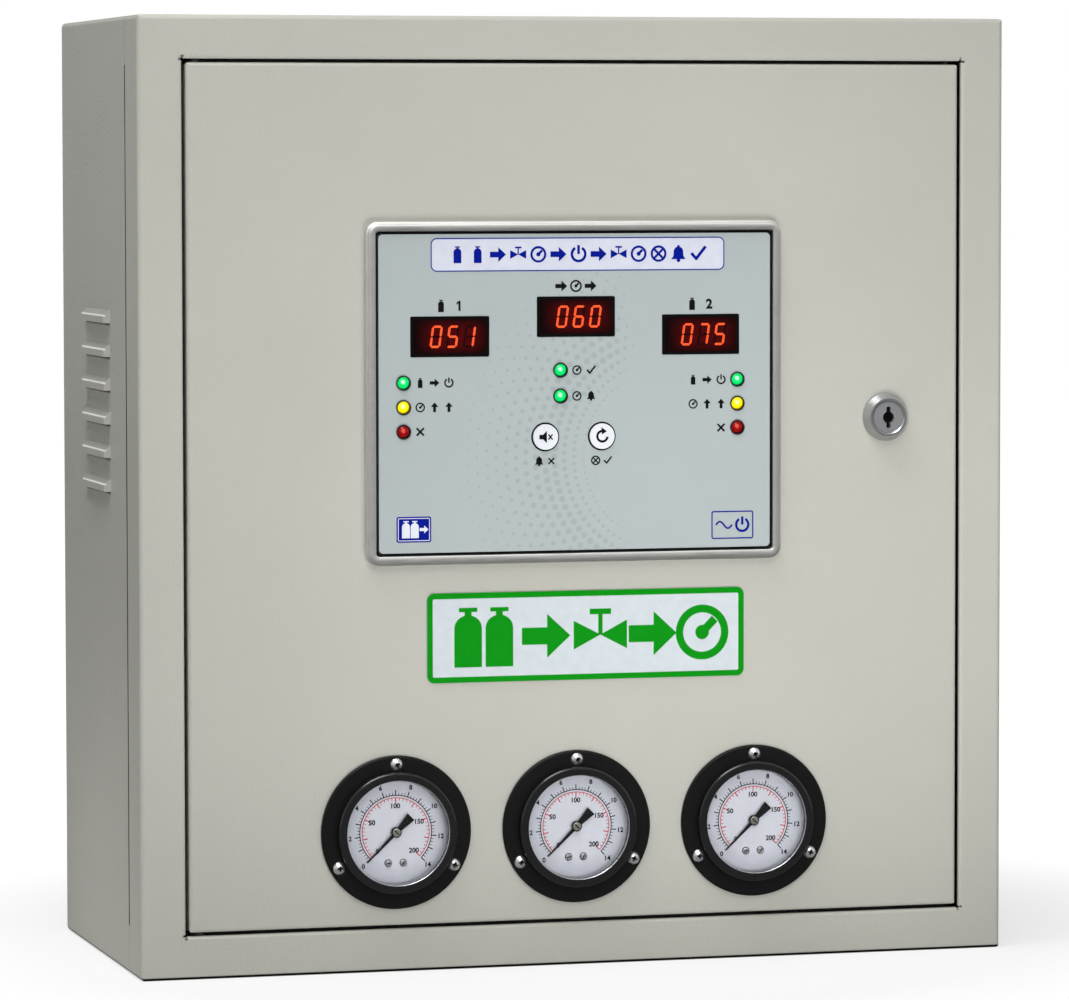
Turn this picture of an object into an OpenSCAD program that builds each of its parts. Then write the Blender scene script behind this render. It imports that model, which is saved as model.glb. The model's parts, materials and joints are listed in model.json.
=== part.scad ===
// Gas manifold panel: a wall cabinet of folded sheet steel whose inset door carries a display unit,
// a label plate, three gauges and a cam lock, in front of a two-line changeover manifold.
// Every piece is drawn as seen from the front: x to the right from the middle, y up from the base,
// z towards the viewer from the front face. stand() turns the drawing upright, with the origin in
// the middle of the base. Lengths are millimetres.

/* [Cabinet] */
// Width over the side walls
cabinet_w = 500; // [470:5:560]
// Height
cabinet_h = 530; // [515:5:600]
// Depth from the wall to the front face
cabinet_d = 220; // [210:5:260]
// Thickness of the sheet steel
sheet_t = 1.5; // [1.2:0.1:2]
// Outer radius of the cabinet's bends
bend_r = 2.5; // [2.2:0.1:4]
// Depth of the front frame's sides
frame_d = 33; // [30:1:46]
// Border of the front frame beside the door
border_side = 25; // [22:1:30]
// Border of the front frame above and below the door
border_end = 24; // [20:1:30]
// Radius of the frame's edge round the door
mouth_r = 2; // [1:0.1:2.4]
// Radius of the bend relief in the corners of the door opening
relief_r = 0.8; // [0.6:0.1:1.6]
// Width of the seam between the frame and the shell
seam_w = 1.2; // [0.8:0.1:2]
// Length of the seam that is welded shut at each corner
seam_weld = 27; // [15:1:40]
// How far the shell's joggled lip reaches into the frame
joggle_l = 10; // [6:1:12]

/* [Louvres] */
// Number of louvres on each side
louvre_count = 6; // [3:1:8]
// Length of a louvre
louvre_l = 71; // [50:1:90]
// Distance from one louvre to the next
louvre_pitch = 18.9; // [12:0.1:24]
// How far a louvre stands out of the wall
louvre_out = 3.3; // [2.5:0.1:6]
// Height of a louvre's hood
louvre_rise = 7.2; // [6:0.1:9]
// Height of the upright lip of the hood
louvre_lip = 4.1; // [2:0.1:5]
// Thickness of the hood's drawn sheet
louvre_t = 1; // [0.8:0.1:1.2]
// Slant of a hood's ends
louvre_slant = 3.5; // [1:0.5:6]
// Height of the middle of the louvres above the base
louvre_up = 316; // [280:1:340]
// Distance of the middle of the louvres behind the front face
louvre_back = 115; // [105:1:130]

/* [Wall and base] */
// Spacing of the wall fixing holes across
wall_hole_w = 440; // [430:1:450]
// Spacing of the wall fixing holes up and down
wall_hole_h = 460; // [440:1:480]
// Diameter of the wall fixing holes
wall_hole_dia = 9; // [6:0.5:12]
// Depth of the opening in the base for the gland plate
gland_mouth_d = 96; // [80:1:110]
// Overlap of the gland plate on the base
gland_lap = 10; // [6:1:12]
// Margin between the gland opening and the side walls
gland_margin = 30; // [26:1:36]
// Diameter of the pipe holes in the gland plate
pipe_hole_dia = 40; // [38:1:46]
// Distance of the cable entry outside the second line
cable_side = 42; // [38:1:46]
// Bore of the cable grommet
cable_dia = 14; // [8:1:16]
// Outer diameter of the grommet's lips
grommet_dia = 26; // [22:1:30]
// Diameter of the grommet's hole in the gland plate
grommet_hole_dia = 20; // [18:0.5:21]
// Thickness of the grommet's upper lip
grommet_lip_t = 2; // [1:0.1:3]

/* [Door] */
// Gap round the door
door_gap = 2; // [1.7:0.1:3]
// Depth of the door's folded edges
door_d = 18; // [15:1:22]
// Radius of the door's edges
door_r = 2; // [1.7:0.1:2.5]
// Width of the door's turned-in lip
door_lip_w = 20; // [17:1:24]
// Distance of the seal from the door's edge
seal_in = 12.5; // [12:0.1:14]
// Width of the seal
seal_w = 7; // [5:0.5:7]
// Thickness of the seal
seal_t = 3.7; // [3:0.1:5]

/* [Hinge] */
// Distance of the hinge axis from the door's edge
hinge_in = 6; // [5.5:0.1:8]
// Distance of the hinge axis behind the front face
hinge_back = 5; // [4.8:0.1:6]
// Diameter of a hinge pin
pin_dia = 3; // [2.4:0.1:3.4]
// Diameter of a hinge bush
bush_dia = 4.6; // [4.4:0.1:5]
// Diameter of a bush's collar in the gap
bush_collar_dia = 6; // [5.4:0.1:7]
// Length of a pin's guide in the door
guide_l = 16; // [10:1:24]
// Width of a pin's guide
guide_w = 8; // [7:0.5:10]
// Length of a pin's head below its guide
pin_head_l = 3; // [2:0.5:6]
// How far a pin passes its bush
pin_proud = 1.5; // [0.5:0.1:3]

/* [Lock] */
// Distance of the lock from the door's edge
lock_in = 43; // [40:1:46]
// Height of the lock above the base
lock_up = 305; // [240:1:360]
// Diameter of the collar
collar_dia = 27; // [25:0.5:30]
// How far the collar stands proud of the door
collar_h = 6.4; // [4:0.1:8]
// Height of the collar's straight edge
collar_edge_h = 1.4; // [0.8:0.1:2.5]
// Diameter of the collar's face
collar_face_dia = 21.4; // [21:0.1:24]
// Diameter of the turning plug
plug_dia = 17.4; // [15:0.1:17.6]
// Diameter of the barrel behind the door
barrel_dia = 20; // [19.6:0.1:21]
// Height of the keyway's slot
key_slot_h = 12; // [9:0.5:13]
// Width of the keyway's slot
key_slot_w = 2.4; // [1.6:0.1:3]
// Diameter of the keyway's round middle
key_dia = 6.6; // [5:0.1:8]
// Depth of the keyway
key_d = 16; // [8:1:18]
// Side of the plug's square tail
tail_side = 8; // [6:0.5:9]
// Length of the tail behind the barrel
tail_l = 5; // [4.5:0.5:8]
// Width of the cam
cam_w = 16; // [14:1:20]
// Reach of the cam from the lock's axis
cam_reach = 39; // [36:1:40]
// Thickness of the cam
cam_t = 2.5; // [2:0.1:3]
// Gap between the cam and the stop behind the door
cam_gap = 1.4; // [0.6:0.1:3]
// Width of the lock nut across its flats
lock_nut_flats = 27; // [25:0.5:30]
// Thickness of the lock nut
lock_nut_t = 5; // [4:0.5:8]

/* [Display unit] */
// Middle of the unit to the right of the door's middle
panel_x = -3; // [-10:1:8]
// Height of the middle of the unit above the base
panel_up = 321.5; // [318:0.5:330]
// Width over the bezel
panel_w = 240; // [236:1:252]
// Height over the bezel
panel_h = 190; // [186:1:196]
// Corner radius of the bezel
bezel_r = 7; // [6:0.5:10]
// How far the bezel stands proud of the door
bezel_h = 5.6; // [5.2:0.1:7]
// Height of the bezel's outer step
bezel_step_h = 3.6; // [2.8:0.1:4.2]
// Width of the bezel's outer step
bezel_step_w = 1.6; // [1:0.1:2]
// Width of the bezel's face
bezel_face_w = 4; // [3.5:0.1:5]
// Width of the ledge that carries the front plate
ledge_w = 4.2; // [3:0.1:5]
// Thickness of that ledge
ledge_t = 2.2; // [2:0.1:2.4]
// Gap round the front plate
plate_gap = 0.7; // [0.3:0.1:1]
// Thickness of the front plate
face_t = 2; // [1.5:0.1:2.6]
// Corner radius of the front plate
face_r = 3; // [2:0.5:4]
// Width of a display window
display_w = 45; // [40:0.5:48]
// Height of a display window
display_h = 22.4; // [18:0.2:24]
// How far the windows stand proud of the front plate
display_proud = 0.3; // [0.1:0.1:0.6]
// Distance of the side displays from the unit's middle
display_side = 72.5; // [70:0.5:78]
// Height of the side displays above the unit's middle
display_side_up = 31.5; // [28:0.5:36]
// Height of the middle display above the unit's middle
display_mid_up = 42; // [38:0.5:46]
// Width of a lamp's ring
lamp_ring_w = 0.7; // [0.5:0.1:1.3]
// Diameter of a lamp
lamp_dia = 7; // [5:0.1:7.2]
// How far a lamp's dome stands proud of the front plate
lamp_h = 1.9; // [1.2:0.1:3]
// Distance of the left lamps from the front plate's edge
lamp_left_in = 14.7; // [11:0.1:18]
// Distance of the right lamps from the front plate's edge
lamp_right_in = 19.7; // [11:0.1:24]
// Height of the top side lamps above the unit's middle
lamp_side_up = 6; // [0:0.5:10]
// Distance from one side lamp to the next
lamp_side_pitch = 13.5; // [11:0.1:16]
// Distance of the middle lamps to the left of the unit's middle
lamp_mid = 9; // [0:0.5:16]
// Height of the upper middle lamp above the unit's middle
lamp_mid_up = 12.2; // [10:0.1:16]
// Distance between the middle lamps
lamp_mid_pitch = 14.4; // [11:0.1:15]
// Diameter of a button
button_dia = 14.2; // [12:0.1:16]
// How far a button stands proud of the front plate
button_h = 1.4; // [1.2:0.1:3]
// Travel of a button
button_travel = 0.8; // [0.4:0.1:1]
// Distance between the buttons
button_pitch = 32.7; // [28:0.1:40]
// Middle of the buttons to the left of the unit's middle
button_left = 1.5; // [-4:0.5:6]
// Distance of the buttons below the unit's middle
button_down = 24.8; // [22:0.1:30]
// How far a button's flange reaches past its cap
button_lip_w = 1.4; // [1:0.1:1.5]
// Distance of the circuit board behind the front face
board_back = 9; // [8:0.5:14]
// Thickness of the circuit board
board_t = 1.6; // [1:0.1:2]
// Margin between the circuit board and the unit's mouth
board_margin = 4; // [2:0.5:6]
// Inset of the board's spacers from its corners
spacer_in = 7; // [6:0.5:10]
// Diameter of a spacer
spacer_dia = 6; // [5:0.5:7]
// Depth of the rear cover
cover_d = 42; // [30:1:50]
// Wall of the rear cover
cover_t = 2.4; // [1.6:0.1:3]
// Inset of the cover's screws from the bezel's corners
cover_screw_in = 5.5; // [5:0.1:6.5]
// Diameter of the cover's screws
cover_screw_dia = 3; // [2.5:0.1:3.5]
// Diameter of the buzzer
buzzer_dia = 16; // [10:1:20]

/* [Label] */
// Width of the label plate
label_w = 184; // [120:1:200]
// Height of the label plate
label_h = 50; // [30:1:56]
// Thickness of the label plate
label_t = 0.8; // [0.4:0.1:2]
// Corner radius of the label plate
label_r = 4; // [2:0.5:8]
// Middle of the label plate to the right of the door's middle
label_x = 4; // [-10:1:10]
// Gap between the bezel and the label plate
label_gap = 16.1; // [8:0.1:22]

/* [Gauges] */
// Middle of the row to the right of the door's middle
gauge_x = -2; // [-8:1:8]
// Gap between the gauge cases and the door's lip below them
gauge_lip_gap = 0.5; // [0.3:0.1:12]
// Distance from one gauge to the next
gauge_pitch = 104; // [95:1:115]
// Distance of the screw heads from the flange's edge
flange_edge = 1.35; // [0.8:0.05:3]
// Thickness of the flange
flange_t = 2.4; // [2:0.1:3]
// How far the raised rim reaches past the case
rim_w = 2.5; // [2:0.1:4]
// How far the rim stands proud of the door
rim_h = 7; // [6:0.1:9]
// Width of the rounding on the rim
rim_r = 1.4; // [0.6:0.1:1.8]
// How far the rim's lip covers the lens
lens_lip_w = 0.8; // [0.5:0.1:2]
// Thickness of the lip that holds the lens
lens_lip_t = 1.2; // [0.8:0.1:1.6]
// Diameter of the case
case_dia = 63; // [62.4:0.1:64]
// Wall of the case
case_t = 1.2; // [0.8:0.1:1.4]
// Depth of the case behind the front face
case_d = 28; // [26:1:36]
// Thickness of the lens
lens_t = 1.8; // [1:0.1:2.2]
// Thickness of the ring behind the lens
lens_ring_t = 1.2; // [0.8:0.1:1.4]
// Width of that ring
lens_ring_w = 1.5; // [1:0.1:3]
// Distance of the dial's face behind the front face
dial_back = 0.3; // [0:0.1:1]
// Thickness of the dial
dial_t = 0.6; // [0.4:0.1:1]
// Length of a pointer from its axis
pointer_l = 23.3; // [18:0.1:25]
// Length of a pointer's tail
pointer_tail_l = 12; // [8:0.5:14]
// Width of a pointer's tail
pointer_tail_w = 5.4; // [4:0.1:6]
// Width of a pointer's root
pointer_root_w = 2.2; // [1.6:0.1:3]
// Width of a pointer's tip
pointer_tip_w = 0.5; // [0.4:0.1:1]
// Thickness of a pointer
pointer_t = 0.5; // [0.4:0.1:0.8]
// Height of a pointer above the dial
pointer_gap = 1.1; // [0.8:0.1:1.4]
// Diameter of a pointer's hub
hub_dia = 6; // [5:0.1:8]
// Diameter of a pointer's arbor
arbor_dia = 2; // [1.5:0.1:2.5]
// Angle of a pointer at zero, turned from upright
zero_angle = 135; // [120:1:150]
// Gap between the screw heads and the raised rim
screw_gap = 0.15; // [0.1:0.05:1]
// Diameter of a gauge screw
gauge_screw_dia = 4; // [3:0.1:4.2]
// Diameter of a gauge screw's head
gauge_head_dia = 7.3; // [6.6:0.1:7.6]
// Height of a gauge screw's head
gauge_head_h = 2.4; // [1.6:0.1:3]
// Diameter of the back connection
stem_dia = 13; // [11:0.1:14]
// Length of the back connection behind the case
stem_l = 18; // [12:1:24]

/* [Mounting plate] */
// Width of the mounting plate
plate_w = 410; // [396:1:420]
// Height of the mounting plate
plate_h = 430; // [424:1:440]
// Thickness of the mounting plate
plate_t = 2; // [1.5:0.1:3]
// Distance of the plate in front of the wall
plate_out = 20; // [14:1:24]
// Inset of the studs from the plate's corners
stud_in = 15; // [12:1:18]
// Diameter of the studs
stud_dia = 6; // [5:0.5:8]

/* [Gas lines] */
// Distance of a line from the side wall
line_in = 100; // [98:1:104]
// Distance of the lines in front of the wall
gas_out = 68; // [66:1:72]
// Outer diameter of the copper pipe
pipe_dia = 15; // [12:0.5:16]
// Wall of the copper pipe
pipe_t = 1; // [0.7:0.1:1.5]
// Depth of a pipe socket
socket_d = 10; // [8:0.5:12]
// Wall of the bosses round the pipe sockets
boss_t = 4.4; // [3:0.1:5]
// Height of the unions' mouths above the base
union_up = 14; // [8:1:16]
// Length of a union
union_l = 46; // [44:1:50]
// Width of a union across its flats
union_flats = 32; // [28:0.5:34]
// Thickness of the shoulder on a union's tail
shoulder_t = 6; // [4:0.5:8]
// Bore of a union's thread
port_dia = 18.6; // [15:0.1:21]
// Depth of a union's thread
port_d = 16; // [12:0.5:18]
// Radius of the pipe bends at their middle
pipe_bend_r = 24; // [20:1:28]
// Width of a pipe clamp
clamp_w = 12; // [8:1:16]
// Wall of a pipe clamp
clamp_t = 4; // [3:0.1:6]
// Diameter of a clamp's pillar
pillar_dia = 10; // [8:0.5:12]
// Height of the upper pipe clamp on the outlet
clamp_mid_up = 262; // [240:1:290]
// Height of the junction block's middle
block_up = 340; // [336:1:346]
// Width of the junction block
block_w = 60; // [50:1:70]
// Height of the junction block
block_h = 46; // [40:1:56]
// Depth of the junction block
block_d = 42; // [36:1:50]
// Length of a check valve
check_l = 56; // [46:1:60]
// Diameter of a check valve
check_dia = 26; // [24.5:0.5:30]
// Width of a check valve's hexagon across its flats
check_flats = 30; // [28:0.5:34]
// Width of a sensor across its flats
sensor_flats = 22; // [20:0.5:26]
// Length of a sensor's hexagon
sensor_hex_l = 10; // [8:0.5:12]
// Diameter of a sensor's body
sensor_dia = 20; // [18:0.5:22]
// Length of a sensor's body
sensor_l = 22; // [18:0.5:24]
// Diameter of a sensor's connector
plugtop_dia = 15; // [12:0.5:17]
// Length of a sensor's connector
plugtop_l = 10; // [8:0.5:12]

/* [Regulators] */
// Height of the regulators above the base
regulator_up = 150; // [148:1:152]
// Diameter of a regulator's body
regulator_dia = 52; // [46:0.5:56]
// Depth of a regulator's body
regulator_d = 42; // [36:1:46]
// Length of the bosses beyond the body
regulator_boss_l = 10; // [9:0.5:11]
// Diameter of the bonnet's flange
bonnet_dia = 58; // [54:0.5:62]
// Height of the bonnet's flange
bonnet_flange_h = 7; // [5:0.5:9]
// Height of the bonnet
bonnet_h = 36; // [30:1:40]
// Diameter of the bonnet's neck
neck_dia = 24; // [20:0.5:28]
// Diameter of a knob
knob_dia = 38; // [30:1:42]
// Height of a knob
knob_h = 20; // [14:1:22]
// Number of flutes round a knob
knob_flutes = 12; // [6:1:16]
// Diameter of a knob's spindle
spindle_dia = 8; // [6:0.5:10]

/* [Solenoid valves] */
// Height of the solenoid valves above the base
valve_up = 258; // [254:1:260]
// Width of a valve's body
valve_w = 44; // [36:1:48]
// Height of a valve's body
valve_h = 50; // [44:1:54]
// Depth of a valve's body
valve_d = 40; // [36:1:46]
// Length of the bosses beyond the body
valve_boss_l = 8; // [8:0.5:10]
// Diameter of the tube that carries the coil
core_dia = 14; // [10:0.5:16]
// Width of a coil
coil_w = 40; // [34:1:44]
// Height of a coil
coil_h = 44; // [38:1:48]
// Depth of a coil
coil_d = 36; // [28:1:40]
// Width of a coil's connector
coil_plug_w = 27; // [22:1:30]
// Height of a coil's connector
coil_plug_h = 16; // [12:1:20]
// Depth of a coil's connector
coil_plug_d = 27; // [22:1:28]

/* [Electrics] */
// Distance of the electrics below the plate's top
electrics_down = 48; // [42:1:54]
// Distance of the electrics from the plate's middle
electrics_side = 30; // [24:1:40]
// Width of the power supply
supply_w = 150; // [110:1:160]
// Height of the power supply
supply_h = 66; // [50:1:72]
// Depth of the power supply
supply_d = 40; // [30:1:50]
// Number of slots in the power supply's cover
supply_slots = 9; // [4:1:12]
// Length of the rail
rail_l = 155; // [120:1:165]
// Number of terminal blocks
terminal_count = 14; // [6:1:16]
// Width of a terminal block
terminal_w = 6.2; // [5.2:0.1:7]
// Height of a terminal block
terminal_h = 46; // [40:1:52]
// Depth of a terminal block in front of the rail
terminal_d = 34; // [26:1:40]

/* [Fits] */
// Clearance of the pin in its bush, the plug in its barrel and other running fits
run_fit = 0.05; // [0.02:0.01:0.08]
// Clearance of pieces that are put together by hand
loose_fit = 0.2; // [0.1:0.05:0.25]
// Clearance between the door and its seal
seal_fit = 0.3; // [0.3:0.05:0.5]

/* [Hidden] */
$fn = 64;
bend_steps = 24;
cut = 1;

cabinet_grey = [0.74, 0.73, 0.69];
zinc = [0.78, 0.79, 0.8];
brass = [0.8, 0.66, 0.36];
copper = [0.8, 0.5, 0.34];
black = [0.12, 0.12, 0.13];
rubber = [0.2, 0.2, 0.2];
aluminium = [0.76, 0.77, 0.78];
chrome = [0.85, 0.86, 0.88];
white = [0.93, 0.93, 0.95];

inner_w = cabinet_w - 2 * sheet_t;
inner_h = cabinet_h - 2 * sheet_t;
inner_r = bend_r - sheet_t;
mid_up = cabinet_h / 2;
open_w = cabinet_w - 2 * border_side;
open_h = cabinet_h - 2 * border_end;
door_w = open_w - 2 * door_gap;
door_h = open_h - 2 * door_gap;
return_d = door_d + seal_fit + seal_t + sheet_t;
seam_z = -frame_d - seam_w;
joggle_in = 2 * (sheet_t + loose_fit);
hinge_x = hinge_in - door_w / 2;
stop_w = door_lip_w + door_gap;
bush_collar_h = door_gap - seal_fit;

lock_x = door_w / 2 - lock_in;
cam_front = -return_d - cam_gap;
barrel_back = cam_front + loose_fit;
plug_sunk = 0.6;

bezel_mouth_w = panel_w - 2 * (bezel_step_w + bezel_face_w);
bezel_mouth_h = panel_h - 2 * (bezel_step_w + bezel_face_w);
unit_mouth_w = bezel_mouth_w - 2 * ledge_w;
unit_mouth_h = bezel_mouth_h - 2 * ledge_w;
face_w = bezel_mouth_w - 2 * plate_gap;
face_h = bezel_mouth_h - 2 * plate_gap;
face_front = ledge_t + face_t;
display_places = [[-display_side, display_side_up], [0, display_mid_up], [display_side, display_side_up]];
lamp_sleeve_t = 0.2;
lamp_hole_dia = lamp_dia + 2 * lamp_sleeve_t;
lamp_ring_dia = lamp_dia + 2 * lamp_ring_w;
lamps_left = [for (i = [0:2]) [lamp_left_in - face_w / 2, lamp_side_up - i * lamp_side_pitch]];
lamps_right = [for (i = [0:2]) [face_w / 2 - lamp_right_in, lamp_side_up - i * lamp_side_pitch]];
lamps_mid = [for (i = [0:1]) [-lamp_mid, lamp_mid_up - i * lamp_mid_pitch]];
button_places = [for (s = [-1, 1]) [s * button_pitch / 2 - button_left, -button_down]];
board_w = unit_mouth_w - 2 * board_margin;
board_h = unit_mouth_h - 2 * board_margin;
cover_screw_w = panel_w - 2 * cover_screw_in;
cover_screw_h = panel_h - 2 * cover_screw_in;
switch_side = 6;
switch_h = 3.4;
button_flange_t = 0.9;
button_stem_dia = 3.6;
cover_boss_dia = 8;
label_up = panel_up - panel_h / 2 - label_gap - label_h / 2;

case_r = case_dia / 2;
rim_outer = case_r + rim_w;
screw_circle_r = rim_outer + screw_gap + gauge_head_dia / 2;
flange_r = screw_circle_r + gauge_head_dia / 2 + flange_edge;
gauge_up = mid_up - door_h / 2 + door_lip_w + gauge_lip_gap + case_r;
case_bore_r = case_r - case_t;
lens_front = rim_h - lens_lip_t;
lens_back = lens_front - lens_t;
lens_r = case_bore_r - loose_fit / 2;
gauge_screw_angles = [90, 210, 330];
nut_h = 3.2;
nut_flats = 7;

plate_back = -cabinet_d + plate_out;
plate_front = plate_back + plate_t;
gas_z = -cabinet_d + gas_out;
line_x = cabinet_w / 2 - line_in;
pipe_r = pipe_dia / 2;
socket_r = pipe_r + loose_fit / 2;
boss_r = socket_r + boss_t;
passage_r = pipe_r - pipe_t;
union_top = union_up + union_l;
regulator_low = regulator_up - regulator_dia / 2 - regulator_boss_l;
regulator_top = regulator_up + regulator_dia / 2 + regulator_boss_l;
regulator_front = gas_z + regulator_d / 2;
valve_low = valve_up - valve_h / 2 - valve_boss_l;
valve_top = valve_up + valve_h / 2 + valve_boss_l;
valve_front = gas_z + valve_d / 2;
seat_h = 4;
sensor_thread_dia = 12;
sensor_thread_l = 8;
clamp_low_up = (union_top + regulator_low) / 2;
clamp_high_up = (regulator_top + valve_low) / 2;
block_low = block_up - block_h / 2;
block_top = block_up + block_h / 2;
check_end = block_w / 2 + check_l;
rail_w = 35;
rail_h = 7.5;
rail_t = 1;
electrics_up = mid_up + plate_h / 2 - electrics_down;

// Turns the drawing upright, with the origin in the middle of the base
module stand() {
  translate([0, -cabinet_d / 2, 0])
    rotate([90, 0, 0])
      children();
}

// Cylinder along y from a height
module upright(r, h, up) {
  translate([0, up, 0])
    rotate([-90, 0, 0])
      cylinder(r = r, h = h);
}

// Cylinder along x from a place
module level(r, h, x) {
  translate([x, 0, 0])
    rotate([0, 90, 0])
      cylinder(r = r, h = h);
}

// Rectangle with round corners
module rounded_rect(w, h, r) {
  square([w, h - 2 * r], center = true);
  square([w - 2 * r, h], center = true);
  for (sx = [-1, 1], sy = [-1, 1])
    translate([sx * (w / 2 - r), sy * (h / 2 - r)])
      circle(r);
}

// Flat piece with round corners between two depths
module slab(w, h, r, back, front) {
  translate([0, 0, back])
    linear_extrude(front - back)
      rounded_rect(w, h, r);
}

// Hexagonal prism along z, by its width across flats
module hexagon(flats, h) {
  cylinder(r = flats / sqrt(3), h = h, $fn = 6);
}

// Section of a folded edge: square at the back, round at the front
module folded_section(w, d, r) {
  translate([-w / 2, -d])
    square([w, d - r]);
  translate([r - w / 2, -d])
    square([w - 2 * r, d]);
  for (side = [-1, 1])
    translate([side * (w / 2 - r), -r])
      circle(r);
}

// Body of folded sheet: its front edges are bent round and meet in mitres
module folded_body(w, h, d, r) {
  intersection() {
    slab(w, h, r, -d, 0);
    rotate([90, 0, 90])
      linear_extrude(w + cut, center = true)
        folded_section(h, d, r);
    rotate([90, 0, 0])
      linear_extrude(h + cut, center = true)
        folded_section(w, d, r);
  }
}

// What is cut away to round the front edge of a mouth
module mouth_section(w, r) {
  for (side = [0, 1])
    mirror([side, 0])
      difference() {
        translate([w / 2 - cut, -r])
          square([r + cut, r + cut]);
        translate([w / 2 + r, -r])
          circle(r);
      }
}

module mouth_rounding(w, h, r) {
  rotate([90, 0, 90])
    linear_extrude(w + 2 * r, center = true)
      mouth_section(h, r);
  rotate([90, 0, 0])
    linear_extrude(h + 2 * r, center = true)
      mouth_section(w, r);
}

// Height of the underside of a louvre's hood at a distance from the wall
function hood_under(x) =
  let (drop = louvre_rise - louvre_lip)
  louvre_rise - drop * x / louvre_out - louvre_t * norm([louvre_out, drop]) / louvre_out;

// Prism whose ends slant in, for a louvre on the right-hand wall, with bends at the lip
module louvre_ends(l, grow, bend) {
  rotate([90, 0, 0])
    linear_extrude(4 * louvre_rise, center = true)
      bent(bend)
        polygon([
          [-sheet_t - cut, -l / 2], [grow, -l / 2],
          [louvre_out + grow, louvre_slant - l / 2], [louvre_out + grow, l / 2 - louvre_slant],
          [grow, l / 2], [-sheet_t - cut, l / 2]
        ]);
}

// Rounds the outer corners of an outline as a bend of the drawn sheet
module bent(bend) {
  offset(r = bend, $fn = bend_steps)
    offset(delta = -bend)
      children();
}

// Section of a hood: its slope runs on into the wall, and bends into the upright lip
module hood_section() {
  drop = louvre_rise - louvre_lip;
  intersection() {
    translate([-sheet_t / 2, 0])
      square([louvre_out + sheet_t / 2, louvre_rise + drop]);
    bent(louvre_t)
      polygon([
        [-louvre_out, -louvre_rise], [louvre_out, -louvre_rise], [louvre_out, louvre_lip],
        [-louvre_out, louvre_rise + drop]
      ]);
  }
}

module louvre_hood() {
  intersection() {
    linear_extrude(louvre_l, center = true)
      hood_section();
    louvre_ends(louvre_l, 0, louvre_t);
  }
}

module louvre_hollow() {
  reach = louvre_out - louvre_t;
  intersection() {
    linear_extrude(louvre_l, center = true)
      polygon([
        [-sheet_t - cut, louvre_t], [0, louvre_t], [0, -cut], [reach, -cut],
        [reach, hood_under(reach)], [0, hood_under(0)], [-sheet_t - cut, hood_under(0)]
      ]);
    louvre_ends(louvre_l - 2 * louvre_t, -louvre_t, 0);
  }
}

module at_louvres() {
  low = louvre_up - ((louvre_count - 1) * louvre_pitch + louvre_rise) / 2;
  for (side = [0, 1], i = [0:louvre_count - 1])
    mirror([side, 0, 0])
      translate([cabinet_w / 2, low + i * louvre_pitch, -louvre_back])
        children();
}

module shell_band(w, h, r, back, front, wall) {
  difference() {
    slab(w, h, r, back, front);
    slab(w - 2 * wall, h - 2 * wall, max(r - wall, relief_r / 2), back - cut, front + cut);
  }
}

// Rear body of the cabinet, with a joggled lip that slides into the front frame
module cabinet_shell() {
  step_wall = 2 * sheet_t + loose_fit;
  color(cabinet_grey)
    difference() {
      union() {
        translate([0, mid_up, 0]) {
          shell_band(cabinet_w, cabinet_h, bend_r, -cabinet_d, seam_z, sheet_t);
          shell_band(cabinet_w, cabinet_h, bend_r, seam_z - sheet_t, seam_z, step_wall);
          shell_band(cabinet_w - joggle_in, cabinet_h - joggle_in, inner_r,
            seam_z - sheet_t, joggle_l - frame_d, sheet_t);
          intersection() {
            shell_band(cabinet_w, cabinet_h, bend_r, seam_z - sheet_t, -frame_d, step_wall);
            for (side = [-1, 1])
              translate([0, side * (mid_up - seam_weld / 2), -frame_d])
                cube([2 * cabinet_w, seam_weld, 2 * frame_d], center = true);
          }
        }
        at_louvres()
          louvre_hood();
      }
      at_louvres()
        louvre_hollow();
      translate([0, 0, gas_z])
        cube([cabinet_w - 2 * gland_margin, 4 * sheet_t, gland_mouth_d], center = true);
    }
}

// Plate that closes the back, with the wall fixing holes
module back_panel() {
  color(cabinet_grey)
    translate([0, mid_up, 0])
      difference() {
        slab(inner_w, inner_h, inner_r, -cabinet_d, sheet_t - cabinet_d);
        for (sx = [-1, 1], sy = [-1, 1])
          translate([sx * wall_hole_w / 2, sy * wall_hole_h / 2, -cabinet_d - cut])
            cylinder(d = wall_hole_dia, h = sheet_t + 2 * cut);
      }
}

// Plate over the opening in the base, in two halves that close round the pipes and the cable
module gland_plate() {
  plate_d = gland_mouth_d + 2 * gland_lap;
  color(zinc)
    for (half = [-1, 1])
      translate([0, sheet_t, gas_z])
        rotate([-90, 0, 0])
          difference() {
            slab(cabinet_w - 2 * (gland_margin - gland_lap), plate_d, bend_r, 0, sheet_t);
            translate([0, half * (plate_d - loose_fit) / 2, 0])
              cube([cabinet_w, plate_d, 4 * sheet_t], center = true);
            for (i = [-1:1])
              translate([i * line_x, 0, -cut])
                cylinder(d = pipe_hole_dia, h = sheet_t + 2 * cut);
            translate([line_x + cable_side, 0, -cut])
              cylinder(d = grommet_hole_dia, h = sheet_t + 2 * cut);
          }
}

// Rubber grommet in the gland plate, with its lower lip inside the base
module cable_grommet() {
  lip_r = grommet_dia / 2;
  neck_r = grommet_hole_dia / 2 - loose_fit / 2;
  color(rubber)
    translate([line_x + cable_side, 0, gas_z])
      rotate([-90, 0, 0])
        difference() {
          rotate_extrude() {
            translate([0, loose_fit])
              square([lip_r, sheet_t - loose_fit]);
            square([neck_r, 2 * sheet_t + grommet_lip_t]);
            translate([0, 2 * sheet_t])
              square([lip_r, grommet_lip_t]);
          }
          translate([0, 0, -cut])
            cylinder(d = cable_dia, h = 2 * sheet_t + grommet_lip_t + 2 * cut);
        }
}

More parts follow.
